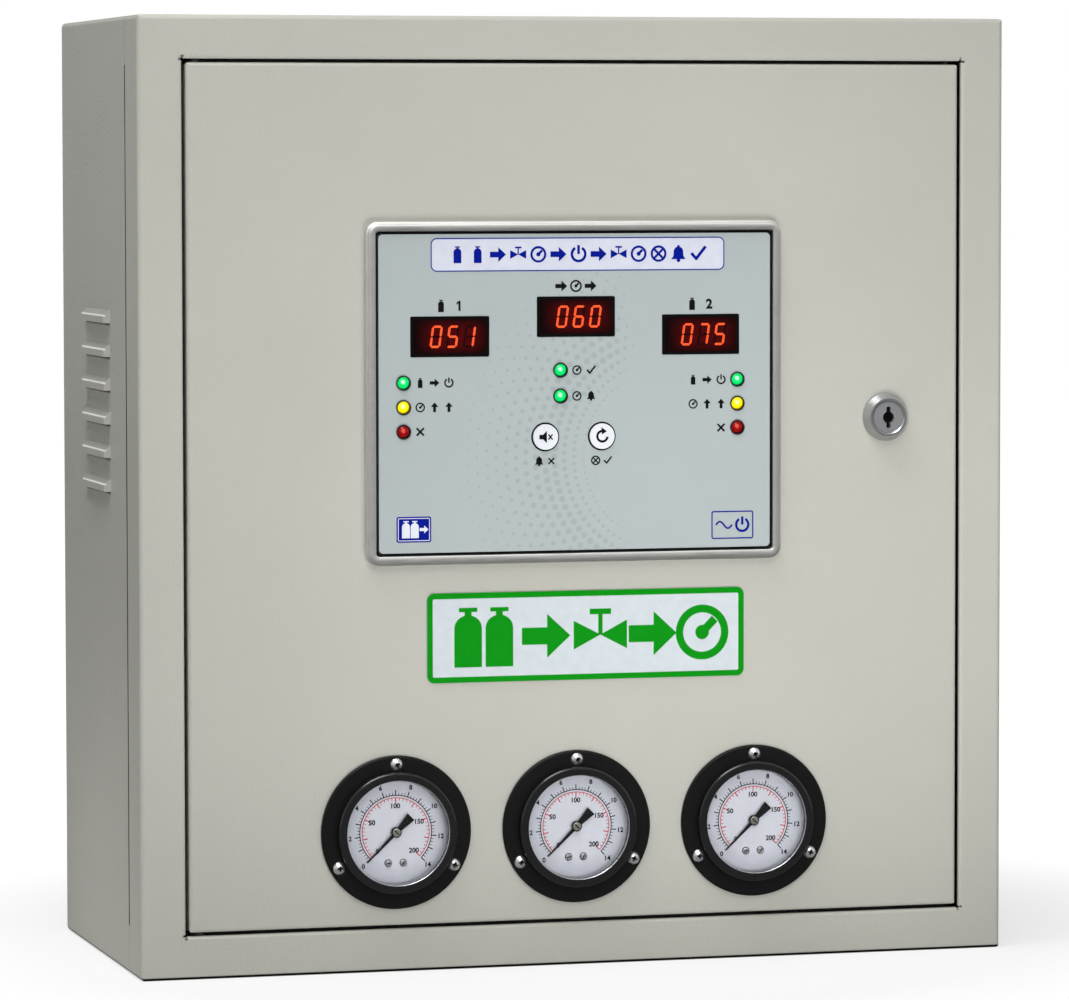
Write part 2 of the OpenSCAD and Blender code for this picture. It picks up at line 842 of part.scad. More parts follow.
// Front frame: folded sides and border, with a return round the door opening
module front_frame() {
  color(cabinet_grey)
    translate([0, mid_up, 0])
      difference() {
        union() {
          difference() {
            folded_body(cabinet_w, cabinet_h, frame_d, bend_r);
            slab(inner_w, inner_h, inner_r, -frame_d - cut, -sheet_t);
          }
          translate([0, 0, -return_d])
            linear_extrude(return_d - sheet_t / 2)
              square([open_w + 2 * sheet_t, open_h + 2 * sheet_t], center = true);
        }
        translate([0, 0, -frame_d - cut])
          linear_extrude(frame_d + 2 * cut)
            square([open_w, open_h], center = true);
        mouth_rounding(open_w, open_h, mouth_r);
        for (sx = [-1, 1], sy = [-1, 1])
          translate([sx * open_w / 2, sy * open_h / 2, -frame_d])
            cylinder(r = relief_r, h = frame_d + cut);
        translate([hinge_x, 0, -hinge_back])
          upright(bush_dia / 2, open_h + 2 * (sheet_t + cut), -open_h / 2 - sheet_t - cut);
      }
}

// Stop behind the door, let into the frame's return
module door_stop() {
  color(cabinet_grey)
    translate([0, mid_up, -return_d])
      linear_extrude(sheet_t)
        difference() {
          square([open_w, open_h], center = true);
          square([open_w - 2 * stop_w, open_h - 2 * stop_w], center = true);
        }
}

// Foam seal on the stop
module door_seal() {
  seal_r = 4;
  back = sheet_t - return_d;
  color(rubber)
    translate([0, mid_up, 0])
      difference() {
        slab(door_w - 2 * seal_in, door_h - 2 * seal_in, seal_r, back, back + seal_t);
        slab(door_w - 2 * (seal_in + seal_w), door_h - 2 * (seal_in + seal_w), seal_r / 2,
          back - cut, back + seal_t + cut);
      }
}

// Collared bushes for the hinge pins, one above the door and one below
module hinge_bushes() {
  color(white)
    translate([hinge_x, mid_up, -hinge_back])
      for (side = [0, 1])
        mirror([0, side, 0])
          difference() {
            union() {
              upright(bush_collar_dia / 2, bush_collar_h, open_h / 2 - bush_collar_h);
              upright(bush_dia / 2, sheet_t + bush_collar_h, open_h / 2 - bush_collar_h);
            }
            upright(pin_dia / 2 + run_fit, 4 * sheet_t + bush_collar_h, open_h / 2 - 2 * bush_collar_h);
          }
}

// Plate that carries the manifold and the electrics
module mounting_plate() {
  plate_r = 6;
  color(zinc)
    translate([0, mid_up, 0])
      difference() {
        slab(plate_w, plate_h, plate_r, plate_back, plate_front);
        for (sx = [-1, 1], sy = [-1, 1])
          translate([sx * (plate_w / 2 - stud_in), sy * (plate_h / 2 - stud_in), plate_back - cut])
            cylinder(d = stud_dia + 2 * loose_fit, h = plate_t + 2 * cut);
      }
}

// Shouldered studs on the back panel, and the nuts that hold the plate
module plate_fixings() {
  stud_nut_h = 5;
  stud_nut_flats = stud_dia + 4;
  wall_face = sheet_t - cabinet_d;
  color(chrome)
    translate([0, mid_up, 0])
      for (sx = [-1, 1], sy = [-1, 1])
        translate([sx * (plate_w / 2 - stud_in), sy * (plate_h / 2 - stud_in), 0]) {
          translate([0, 0, wall_face])
            cylinder(d = 2 * stud_dia, h = plate_back - wall_face);
          translate([0, 0, wall_face])
            cylinder(d = stud_dia, h = plate_front - wall_face + 2 * stud_nut_h);
          translate([0, 0, plate_front])
            difference() {
              hexagon(stud_nut_flats, stud_nut_h);
              translate([0, 0, -cut])
                cylinder(d = stud_dia + loose_fit, h = stud_nut_h + 2 * cut);
            }
        }
}

// Unions of the two inlets and the outlet: a hexagon threaded from below, and the tail on it
module pipe_unions() {
  seat = union_up + port_d + loose_fit;
  color(brass)
    for (i = [-1:1])
      translate([i * line_x, 0, gas_z]) {
        difference() {
          translate([0, union_up, 0])
            rotate([-90, 0, 0])
              hexagon(union_flats, port_d);
          upright(port_dia / 2, port_d + 2 * cut, union_up - cut);
        }
        difference() {
          union() {
            upright(union_flats / 2, shoulder_t, seat);
            upright(boss_r, union_top - seat, seat);
          }
          upright(passage_r, union_l, seat - cut);
          upright(socket_r, socket_d + cut, union_top - socket_d);
        }
      }
}

// Straight pipe along y between two heights
module pipe_up(low, top) {
  difference() {
    upright(pipe_r, top - low, low);
    upright(passage_r, top - low + 2 * cut, low - cut);
  }
}

// Ring section of the pipe
module pipe_ring() {
  difference() {
    circle(pipe_r);
    circle(passage_r);
  }
}

// Pipe from a solenoid valve, bent over towards the junction block
module link_pipe() {
  start = valve_top - socket_d;
  reach = line_x - pipe_bend_r - check_end + socket_d;
  pipe_up(start, block_up - pipe_bend_r);
  translate([-pipe_bend_r, block_up - pipe_bend_r, 0]) {
    rotate_extrude(angle = 90)
      translate([pipe_bend_r, 0])
        pipe_ring();
    translate([0, pipe_bend_r, 0])
      rotate([0, -90, 0])
        linear_extrude(reach)
          pipe_ring();
  }
}

// Rigid copper pipes of both lines and of the outlet
module copper_pipes() {
  color(copper)
    translate([0, 0, gas_z]) {
      for (side = [0, 1])
        mirror([side, 0, 0])
          translate([line_x, 0, 0]) {
            pipe_up(union_top - socket_d, regulator_low + socket_d);
            pipe_up(regulator_top - socket_d, valve_low + socket_d);
            link_pipe();
          }
      pipe_up(union_top - socket_d, block_low + socket_d);
    }
}

// Clamps on pillars, which hold the pipes off the mounting plate
module pipe_clamps() {
  ring_r = socket_r + clamp_t;
  places = [
    [-line_x, clamp_low_up], [0, clamp_low_up], [line_x, clamp_low_up],
    [-line_x, clamp_high_up], [0, clamp_mid_up], [line_x, clamp_high_up]
  ];
  color(zinc)
    for (place = places)
      translate([place[0], place[1], gas_z])
        difference() {
          union() {
            upright(ring_r, clamp_w, -clamp_w / 2);
            translate([0, 0, plate_front - gas_z])
              cylinder(d = pillar_dia, h = gas_z - plate_front);
          }
          upright(socket_r, pillar_dia + clamp_w, -(pillar_dia + clamp_w) / 2);
        }
}

// Body of a pressure regulator: inlet below, outlet on top, sensor port at the outer side
module regulator_body(side) {
  side_l = regulator_dia / 2 + sensor_thread_l / 2;
  color(brass)
    mirror([side < 0 ? 1 : 0, 0, 0])
      translate([line_x, regulator_up, gas_z])
        difference() {
          union() {
            translate([0, 0, -regulator_d / 2])
              cylinder(d = regulator_dia, h = regulator_d);
            upright(boss_r, regulator_top - regulator_low, regulator_low - regulator_up);
            level(sensor_flats / 2, side_l, 0);
          }
          upright(passage_r, 2 * regulator_dia, -regulator_dia);
          upright(socket_r, socket_d + cut, regulator_low - regulator_up - cut);
          upright(socket_r, socket_d + cut, regulator_top - regulator_up - socket_d);
          level(sensor_thread_dia / 2 + loose_fit, sensor_thread_l + cut, side_l - sensor_thread_l);
        }
}

// Spring bonnet of a regulator, bored for the knob's spindle
module regulator_bonnet(side) {
  color(chrome)
    translate([side * line_x, regulator_up, regulator_front])
      difference() {
        rotate_extrude()
          polygon([
            [0, 0], [bonnet_dia / 2, 0], [bonnet_dia / 2, bonnet_flange_h],
            [bonnet_dia / 2 - boss_t, bonnet_flange_h],
            [neck_dia / 2 + clamp_t, bonnet_h - knob_h / 2],
            [neck_dia / 2, bonnet_h - knob_h / 2], [neck_dia / 2, bonnet_h], [0, bonnet_h]
          ]);
        translate([0, 0, bonnet_flange_h])
          cylinder(d = spindle_dia + 2 * run_fit, h = bonnet_h);
      }
}

// Fluted knob on its spindle
module regulator_knob(side) {
  flute_dia = 5;
  dome_h = 2;
  color(black)
    translate([side * line_x, regulator_up, regulator_front]) {
      translate([0, 0, bonnet_h + seal_fit])
        linear_extrude(knob_h)
          difference() {
            circle(d = knob_dia);
            for (i = [1:knob_flutes])
              rotate(i * 360 / knob_flutes)
                translate([knob_dia / 2 + flute_dia / 4, 0])
                  circle(d = flute_dia);
          }
      translate([0, 0, bonnet_h + seal_fit])
        cylinder(d1 = knob_dia - 2 * flute_dia, d2 = knob_dia / 2, h = knob_h + dome_h);
      translate([0, 0, bonnet_flange_h + seal_fit])
        cylinder(d = spindle_dia, h = bonnet_h);
    }
}

// Body of a solenoid valve, with the tube that carries its coil
module solenoid_valve(side) {
  valve_r = 4;
  color(brass)
    translate([side * line_x, valve_up, gas_z])
      difference() {
        union() {
          slab(valve_w, valve_h, valve_r, -valve_d / 2, valve_d / 2);
          upright(boss_r, valve_top - valve_low, valve_low - valve_up);
          cylinder(d = valve_w - 2 * valve_r, h = valve_d / 2 + seat_h);
          cylinder(d = core_dia, h = valve_d / 2 + seat_h + coil_d + 2 * seat_h);
        }
        upright(passage_r, valve_h / 3 + valve_boss_l, valve_low - valve_up - cut);
        upright(socket_r, socket_d + cut, valve_low - valve_up - cut);
        upright(socket_r, socket_d + cut, valve_top - valve_up - socket_d);
      }
}

// Coil with its connector, and the nut that holds it on the valve's tube
module solenoid_coil(side) {
  coil_r = 5;
  coil_nut_flats = 22;
  plug_r = 2;
  color(black)
    translate([side * line_x, valve_up, valve_front + seat_h]) {
      difference() {
        union() {
          slab(coil_w, coil_h, coil_r, 0, coil_d);
          translate([0, -(coil_h + coil_plug_h) / 2, 0])
            slab(coil_plug_w, coil_plug_h + plug_r, plug_r, seat_h, seat_h + coil_plug_d);
        }
        translate([0, 0, -cut])
          cylinder(d = core_dia + loose_fit, h = coil_d + 2 * cut);
      }
      translate([0, 0, coil_d])
        difference() {
          hexagon(coil_nut_flats, seat_h + plug_r);
          translate([0, 0, -cut])
            cylinder(d = core_dia + loose_fit, h = seat_h + plug_r + 2 * cut);
        }
    }
}

// Check valves between the lines and the junction block
module check_valves() {
  cap_in = 22;
  cap_l = 13;
  hex_l = 11;
  color(brass)
    for (side = [0, 1])
      mirror([side, 0, 0])
        translate([block_w / 2, block_up, gas_z])
          difference() {
            union() {
              level(check_dia / 2, check_l, 0);
              translate([check_l - cap_in, 0, 0])
                rotate([0, 90, 0])
                  hexagon(check_flats, cap_l);
              rotate([0, 90, 0])
                hexagon(check_flats, hex_l);
            }
            level(passage_r, check_l + 2 * cut, -cut);
            level(socket_r, socket_d + cut, check_l - socket_d);
          }
}

// Block where both lines meet and the outlet leaves
module junction_block() {
  block_r = 3;
  color(brass)
    translate([0, block_up, gas_z])
      difference() {
        slab(block_w, block_h, block_r, -block_d / 2, block_d / 2);
        level(passage_r, block_w + 2 * cut, -block_w / 2 - cut);
        upright(passage_r, block_h / 2 + cut, -block_h / 2 - cut);
        upright(socket_r, socket_d + cut, -block_h / 2 - cut);
        upright(sensor_thread_dia / 2 + loose_fit, sensor_thread_l + cut, block_h / 2 - sensor_thread_l);
      }
}

// Pressure sensor along z, with its thread below
module sensor() {
  translate([0, 0, loose_fit - sensor_thread_l])
    cylinder(d = sensor_thread_dia, h = sensor_thread_l);
  hexagon(sensor_flats, sensor_hex_l);
  cylinder(d = sensor_dia, h = sensor_hex_l + sensor_l);
  cylinder(d = plugtop_dia, h = sensor_hex_l + sensor_l + plugtop_l);
}

// Sensors on both regulators and on the junction block
module pressure_sensors() {
  color(chrome)
    translate([0, 0, gas_z]) {
      translate([0, block_top, 0])
        rotate([-90, 0, 0])
          sensor();
      for (side = [-1, 1])
        translate([side * (line_x + regulator_dia / 2 + sensor_thread_l / 2), regulator_up, 0])
          rotate([0, side * 90, 0])
            sensor();
    }
}

// Power supply in a slotted case, with a terminal strip along its left end
module power_supply() {
  slot_w = 3;
  strip_w = 16;
  supply_r = 2;
  slot_pitch = (supply_w - 2 * strip_w) / supply_slots;
  color(zinc)
    translate([electrics_side + supply_w / 2, electrics_up, plate_front])
      difference() {
        slab(supply_w, supply_h, supply_r, 0, supply_d);
        for (i = [1:supply_slots])
          translate([strip_w - supply_w / 2 + i * slot_pitch, 0, 0])
            slab(slot_w, supply_h - 2 * strip_w, slot_w / 3, supply_d - slot_w, supply_d + cut);
        translate([-supply_w / 2 - cut, -supply_h / 2 + slot_w, supply_d / 2])
          cube([strip_w + cut, supply_h - 2 * slot_w, supply_d]);
      }
}

// Hat-shaped rail for the terminal blocks
module terminal_rail() {
  hat_w = 27;
  color(zinc)
    translate([-electrics_side - rail_l, electrics_up, plate_front])
      rotate([90, 0, 90])
        linear_extrude(rail_l)
          for (side = [0, 1])
            mirror([side, 0]) {
              square([hat_w / 2, rail_t]);
              translate([hat_w / 2 - rail_t, 0])
                square([rail_t, rail_h]);
              translate([hat_w / 2 - rail_t, rail_h - rail_t])
                square([rail_w / 2 - hat_w / 2 + rail_t, rail_t]);
            }
}

// Row of terminal blocks on the rail
module terminal_blocks() {
  step = 6;
  row_l = terminal_count * (terminal_w + loose_fit);
  color([0.72, 0.74, 0.76])
    for (i = [0:terminal_count - 1])
      translate([-electrics_side - (rail_l + row_l) / 2 + i * (terminal_w + loose_fit),
        electrics_up, plate_front + rail_h])
        rotate([90, 0, 90])
          linear_extrude(terminal_w)
            polygon([
              [-terminal_h / 2, 0], [terminal_h / 2, 0], [terminal_h / 2, terminal_d / 2],
              [terminal_h / 2 - step, terminal_d / 2 + step],
              [terminal_h / 4, terminal_d - step], [terminal_h / 4 - step, terminal_d],
              [step - terminal_h / 4, terminal_d], [-terminal_h / 4, terminal_d - step],
              [step - terminal_h / 2, terminal_d / 2 + step], [-terminal_h / 2, terminal_d / 2]
            ]);
}

module at_unit() {
  translate([panel_x, panel_up, 0])
    children();
}

module at_cover_screws() {
  at_unit()
    for (sx = [-1, 1], sy = [-1, 1])
      translate([sx * cover_screw_w / 2, sy * cover_screw_h / 2, 0])
        children();
}

module at_gauges() {
  for (i = [-1:1])
    translate([gauge_x + i * gauge_pitch, gauge_up, 0])
      children();
}

module at_gauge_screws() {
  at_gauges()
    for (angle = gauge_screw_angles)
      rotate(angle)
        translate([screw_circle_r, 0, 0])
          children();
}

// Door: a folded tray with a turned-in lip, cut out for all that it carries
module door_panel() {
  color(cabinet_grey)
    difference() {
      translate([0, mid_up, 0])
        difference() {
          folded_body(door_w, door_h, door_d, door_r);
          slab(door_w - 2 * sheet_t, door_h - 2 * sheet_t, relief_r, sheet_t - door_d, -sheet_t);
          slab(door_w - 2 * door_lip_w, door_h - 2 * door_lip_w, relief_r,
            -door_d - cut, 2 * sheet_t - door_d);
          translate([hinge_x, 0, -hinge_back])
            upright(pin_dia / 2 + run_fit, door_h + 2 * cut, -door_h / 2 - cut);
        }
      at_unit()
        slab(unit_mouth_w, unit_mouth_h, relief_r, -sheet_t - cut, cut);
      at_cover_screws()
        translate([0, 0, -sheet_t - cut])
          cylinder(d = cover_screw_dia + 2 * loose_fit, h = sheet_t + 2 * cut);
      at_gauges()
        translate([0, 0, -sheet_t - cut])
          cylinder(r = case_r + 2 * loose_fit, h = sheet_t + 2 * cut);
      at_gauge_screws()
        translate([0, 0, -sheet_t - cut])
          cylinder(d = gauge_screw_dia + loose_fit, h = sheet_t + 2 * cut);
      translate([lock_x, lock_up, -sheet_t - cut])
        cylinder(d = barrel_dia + 2 * loose_fit, h = sheet_t + 2 * cut);
    }
}

// Hinge pins with their heads, and the guides behind the door that hold them
module hinge_pins() {
  top = door_h / 2 - sheet_t - relief_r;
  low = top - guide_l;
  tip = open_h / 2 + sheet_t + pin_proud;
  guide_d = hinge_back - sheet_t + guide_w / 2;
  color(chrome)
    translate([hinge_x, mid_up, -hinge_back])
      for (side = [0, 1])
        mirror([0, side, 0]) {
          upright(pin_dia / 2, tip - low + pin_head_l, low - pin_head_l);
          upright(pin_dia / 2 + sheet_t, pin_head_l, low - pin_head_l);
          difference() {
            translate([sheet_t - hinge_in, low, -guide_w / 2])
              cube([hinge_in - sheet_t + guide_w / 2, guide_l, guide_d]);
            upright(pin_dia / 2 + run_fit, guide_l + 2 * cut, low - cut);
          }
        }
}

// Barrel of the lock, with its bevelled collar in front of the door
module lock_barrel() {
  bore_r = plug_dia / 2 + run_fit;
  chamfer = 0.8;
  color(chrome)
    translate([lock_x, lock_up, 0])
      rotate_extrude()
        polygon([
          [bore_r, barrel_back], [barrel_dia / 2, barrel_back], [barrel_dia / 2, 0],
          [collar_dia / 2, 0], [collar_dia / 2, collar_edge_h],
          [collar_face_dia / 2, collar_h], [bore_r + chamfer, collar_h],
          [bore_r, collar_h - chamfer]
        ]);
}

// Nut that holds the barrel in the door
module lock_nut() {
  color(chrome)
    translate([lock_x, lock_up, -sheet_t - lock_nut_t])
      difference() {
        hexagon(lock_nut_flats, lock_nut_t);
        translate([0, 0, -cut])
          cylinder(d = barrel_dia + loose_fit, h = lock_nut_t + 2 * cut);
      }
}

// Turning plug with its keyway and its square tail
module lock_plug() {
  plug_front = collar_h - plug_sunk;
  color(chrome)
    translate([lock_x, lock_up, 0])
      difference() {
        union() {
          translate([0, 0, barrel_back])
            cylinder(d = plug_dia, h = plug_front - barrel_back);
          translate([0, 0, barrel_back - tail_l - cut])
            linear_extrude(tail_l + 2 * cut)
              square(tail_side, center = true);
        }
        translate([0, 0, plug_front - key_d])
          cylinder(d = key_dia, h = key_d + cut);
        translate([-key_slot_w / 2, -key_slot_h / 2, plug_front - key_d])
          cube([key_slot_w, key_slot_h, key_d + cut]);
      }
}

// Cam on the plug's tail with its screw, upright when unlocked
module lock_cam() {
  screw_h = 3;
  screw_rim = 1;
  screw_dia = tail_side + 2 * screw_rim;
  color(chrome)
    translate([lock_x, lock_up, 0]) {
      translate([0, 0, cam_front - cam_t])
        linear_extrude(cam_t)
          difference() {
            union() {
              circle(d = cam_w);
              translate([-cam_w / 2, 0])
                square([cam_w, cam_reach - cam_w / 4]);
              translate([0, cam_reach - cam_w / 4])
                square([cam_w / 2, cam_w / 2], center = true);
              for (sx = [-1, 1])
                translate([sx * cam_w / 4, cam_reach - cam_w / 4])
                  circle(d = cam_w / 2);
            }
            square(tail_side + loose_fit, center = true);
          }
      translate([0, 0, barrel_back - tail_l - cut - screw_h])
        cylinder(d = screw_dia, h = screw_h);
    }
}

// Bezel of the display unit, with a ledge for the front plate
module panel_bezel() {
  face_corner = bezel_r - bezel_step_w;
  mouth_corner = face_r + plate_gap;
  blind = 2 * sheet_t;
  color(aluminium)
    difference() {
      at_unit()
        difference() {
          union() {
            slab(panel_w, panel_h, bezel_r, 0, bezel_step_h);
            slab(panel_w - 2 * bezel_step_w, panel_h - 2 * bezel_step_w, face_corner, 0, bezel_h);
          }
          slab(bezel_mouth_w, bezel_mouth_h, mouth_corner, ledge_t, bezel_h + cut);
          slab(unit_mouth_w, unit_mouth_h, relief_r, -cut, bezel_h);
        }
      at_cover_screws()
        translate([0, 0, -cut])
          cylinder(d = cover_screw_dia + loose_fit, h = blind + cut);
    }
}

// Printed front plate, cut out for the displays, lamps and buttons
module panel_face() {
  back = ledge_t - cut;
  color([0.71, 0.75, 0.75])
    at_unit()
      difference() {
        slab(face_w, face_h, face_r, ledge_t, face_front);
        for (place = display_places)
          translate(place)
            slab(display_w + loose_fit, display_h + loose_fit, relief_r, back, face_front + cut);
        for (place = concat(lamps_left, lamps_mid, lamps_right))
          translate([place[0], place[1], back])
            cylinder(d = lamp_hole_dia, h = face_t + 2 * cut);
        for (place = button_places)
          translate([place[0], place[1], back])
            cylinder(d = button_dia + 2 * loose_fit, h = face_t + 2 * cut);
      }
}

// Red filter windows in front of the digits
module display_windows() {
  color([0.25, 0.03, 0.05])
    at_unit()
      for (place = display_places)
        translate(place)
          slab(display_w, display_h, relief_r, ledge_t, face_front + display_proud);
}

// Digit modules between the windows and the circuit board
module display_modules() {
  inset = 1;
  color(black)
    at_unit()
      for (place = display_places)
        translate(place)
          slab(display_w - 2 * inset, display_h - 2 * inset, relief_r / 2, -board_back, ledge_t);
}

// Rings that hold the lamps in the front plate
module lamp_rings() {
  ring_h = 0.7;
  color(black)
    at_unit()
      for (place = concat(lamps_left, lamps_mid, lamps_right))
        translate([place[0], place[1], ledge_t])
          difference() {
            union() {
              cylinder(d = lamp_hole_dia - loose_fit / 2, h = face_t);
              translate([0, 0, face_t])
                cylinder(d = lamp_ring_dia, h = ring_h);
            }
            translate([0, 0, -cut])
              cylinder(d = lamp_dia + loose_fit / 4, h = face_t + ring_h + 2 * cut);
          }
}

// Domed lamp on two legs that stand on the circuit board
module lamp() {
  dome_r = (pow(lamp_dia / 2, 2) + pow(lamp_h, 2)) / (2 * lamp_h);
  leg_dia = 0.8;
  intersection() {
    translate([0, 0, ledge_t - cut])
      cylinder(d = lamp_dia, h = 4 * lamp_dia);
    translate([0, 0, face_front + lamp_h - dome_r])
      sphere(r = dome_r, $fn = 48);
  }
  translate([0, 0, ledge_t - cut])
    cylinder(d = lamp_dia, h = face_t + cut);
  for (side = [-1, 1])
    translate([side * lamp_dia / 5, 0, -board_back])
      cylinder(d = leg_dia, h = board_back + ledge_t);
}

module lamps_green() {
  color([0.1, 0.85, 0.45])
    at_unit()
      for (place = concat([lamps_left[0], lamps_right[0]], lamps_mid))
        translate(place)
          lamp();
}

module lamps_yellow() {
  color([0.95, 0.9, 0.2])
    at_unit()
      for (place = [lamps_left[1], lamps_right[1]])
        translate(place)
          lamp();
}

module lamps_red() {
  color([0.8, 0.05, 0.05])
    at_unit()
      for (place = [lamps_left[2], lamps_right[2]])
        translate(place)
          lamp();
}

// Button cap with a flange behind the front plate and a stem down to its switch
module button(place) {
  stem_end = switch_h - board_back + button_travel + seal_fit;
  flange_front = ledge_t - loose_fit;
  color(white)
    at_unit()
      translate(place) {
        translate([0, 0, flange_front])
          cylinder(d = button_dia, h = face_t + button_h + loose_fit);
        translate([0, 0, flange_front - button_flange_t])
          cylinder(d = button_dia + 2 * button_lip_w, h = button_flange_t);
        translate([0, 0, stem_end])
          cylinder(d = button_stem_dia, h = flange_front - stem_end);
      }
}

// Circuit board behind the front plate
module circuit_board() {
  board_r = 2;
  color([0.05, 0.35, 0.2])
    at_unit()
      slab(board_w, board_h, board_r, -board_back - board_t, -board_back);
}

// Switches under the buttons on the board, and the buzzer behind it
module board_parts() {
  buzzer_h = 9;
  color(black)
    at_unit() {
      for (place = button_places)
        translate([place[0], place[1], switch_h / 2 - board_back])
          cube([switch_side, switch_side, switch_h], center = true);
      translate([board_w / 4, board_h / 4, -board_back - board_t - buzzer_h])
        difference() {
          cylinder(d = buzzer_dia, h = buzzer_h);
          translate([0, 0, -cut])
            cylinder(d = buzzer_dia / 6, h = buzzer_h / 2);
        }
    }
}

// Spacers between the front plate and the circuit board
module board_spacers() {
  color(zinc)
    at_unit()
      for (sx = [-1, 1], sy = [-1, 1])
        translate([sx * (board_w / 2 - spacer_in), sy * (board_h / 2 - spacer_in), -board_back])
          cylinder(d = spacer_dia, h = board_back + ledge_t);
}

// Cover over the electronics behind the door, with screw bosses in its corners
module rear_cover() {
  cover_r = 4;
  vent_w = 3;
  vents = 8;
  color([0.3, 0.31, 0.33])
    difference() {
      union() {
        at_unit()
          difference() {
            slab(panel_w, panel_h, bezel_r, -sheet_t - cover_d, -sheet_t);
            slab(panel_w - 2 * cover_t, panel_h - 2 * cover_t, cover_r,
              cover_t - sheet_t - cover_d, cut);
            for (i = [1:vents])
              translate([0, panel_h / 4 - i * 3 * vent_w, 0])
                slab(panel_w / 3, vent_w, vent_w / 3, -cover_d - 2 * sheet_t, cover_t - cover_d);
          }
        at_cover_screws()
          translate([0, 0, -sheet_t - cover_d + cover_t / 2])
            cylinder(d = cover_boss_dia, h = cover_d - cover_t / 2);
      }
      at_cover_screws()
        translate([0, 0, -sheet_t - cover_d - cut])
          cylinder(d = cover_screw_dia + loose_fit, h = cover_d + 2 * cut);
    }
}

// Long screws that draw the cover and the bezel together
module cover_screws() {
  head_h = 2.2;
  head_dia = 2 * cover_screw_dia;
  screw_tip = 2 * sheet_t - loose_fit;
  color(chrome)
    at_cover_screws() {
      translate([0, 0, -sheet_t - cover_d])
        cylinder(d = cover_screw_dia, h = cover_d + sheet_t + screw_tip);
      translate([0, 0, -sheet_t - cover_d - head_h])
        cylinder(d = head_dia, h = head_h);
    }
}

// Label plate on the door
module label_plate() {
  color(white)
    translate([label_x, label_up, 0])
      slab(label_w, label_h, label_r, 0, label_t);
}

// Section of a gauge case: flange, raised rim and cup
module gauge_section() {
  edge_r = flange_t / 2;
  rim_inner = lens_r - lens_lip_w;
  difference() {
    union() {
      square([flange_r - edge_r, flange_t]);
      square([flange_r, edge_r]);
      translate([flange_r - edge_r, edge_r])
        circle(edge_r);
      square([rim_outer, rim_h - rim_r]);
      square([rim_outer - rim_r, rim_h]);
      translate([rim_outer - rim_r, rim_h - rim_r])
        circle(rim_r);
      translate([0, -case_d])
        square([case_r, case_d]);
    }
    translate([-cut, case_t - case_d])
      square([case_bore_r + cut, case_d - case_t + lens_front]);
    translate([-cut, 0])
      square([rim_inner + cut, rim_h + cut]);
    translate([-cut, -case_d - cut])
      square([stem_dia / 2 + loose_fit + cut, case_d]);
  }
}

// Flanged cases of the three gauges
module gauge_cases() {
  color(black)
    difference() {
      at_gauges()
        rotate_extrude()
          gauge_section();
      at_gauge_screws()
        translate([0, 0, -cut])
          cylinder(d = gauge_screw_dia + loose_fit, h = flange_t + 2 * cut);
    }
}

module gauge_lenses() {
  color([0.8, 0.85, 0.9, 0.4])
    at_gauges()
      translate([0, 0, lens_back])
        cylinder(r = lens_r, h = lens_t);
}

// Bright rings that hold the lenses from behind
module gauge_lens_rings() {
  color(chrome)
    at_gauges()
      translate([0, 0, lens_back - lens_ring_t])
        difference() {
          cylinder(r = lens_r, h = lens_ring_t);
          translate([0, 0, -cut])
            cylinder(r = lens_r - lens_ring_w, h = lens_ring_t + 2 * cut);
        }
}

module gauge_dials() {
  color(white)
    at_gauges()
      translate([0, 0, -dial_back - dial_t])
        difference() {
          cylinder(r = lens_r, h = dial_t);
          translate([0, 0, -cut])
            cylinder(d = 2 * arbor_dia, h = dial_t + 2 * cut);
        }
}

// Bourdon movement: tube, socket, plates and the bearing of the pointer's arbor
module gauge_movements() {
  tube_r = 22;
  tube_w = 7;
  tube_t = 2.2;
  seat = -dial_back - dial_t;
  plate_gauge = 1.4;
  frame_w = 16;
  frame_h = 36;
  frame_down = 7;
  socket_w = 13;
  socket_front = -tube_w / 2;
  bearing_dia = arbor_dia + 4;
  pillar_side = 4.2;
  pillar_down = 17;
  color(brass)
    at_gauges()
      difference() {
        union() {
          translate([0, 0, 2 * tube_w - case_d])
            cylinder(d = bearing_dia, h = seat + case_d - 2 * tube_w);
          for (back = [-2 * tube_t, -2 * tube_w])
            translate([0, -frame_down, back])
              slab(frame_w, frame_h, plate_gauge, 0, plate_gauge);
          for (side = [-1, 1])
            translate([side * pillar_side, -pillar_down, -2 * tube_w])
              cylinder(d = pillar_side, h = seat + 2 * tube_w);
          translate([-socket_w / 2, -tube_r - tube_t, case_t - case_d + loose_fit])
            cube([socket_w, tube_r + tube_t + socket_w / 2, case_d - case_t - 2 * tube_w]);
          translate([-socket_w / 2, -tube_r - tube_t, -2 * tube_w])
            cube([socket_w, 2 * tube_t, 2 * tube_w + socket_front]);
          translate([0, 0, -tube_w - tube_t])
            rotate(-90)
              rotate_extrude(angle = 260)
                translate([tube_r, 0])
                  square([tube_t, tube_w], center = true);
          translate([0, 0, -case_d - stem_l])
            cylinder(d = stem_dia, h = stem_l + 2 * tube_t);
          translate([0, 0, -case_d - stem_l / 2])
            hexagon(stem_dia + 2 * case_t, stem_l / 2 - loose_fit);
        }
        translate([0, 0, -tube_w - case_t])
          cylinder(d = arbor_dia + 2 * run_fit, h = 2 * tube_w);
        translate([0, 0, -case_d - stem_l - cut])
          cylinder(d = stem_dia / 3, h = stem_l);
      }
}

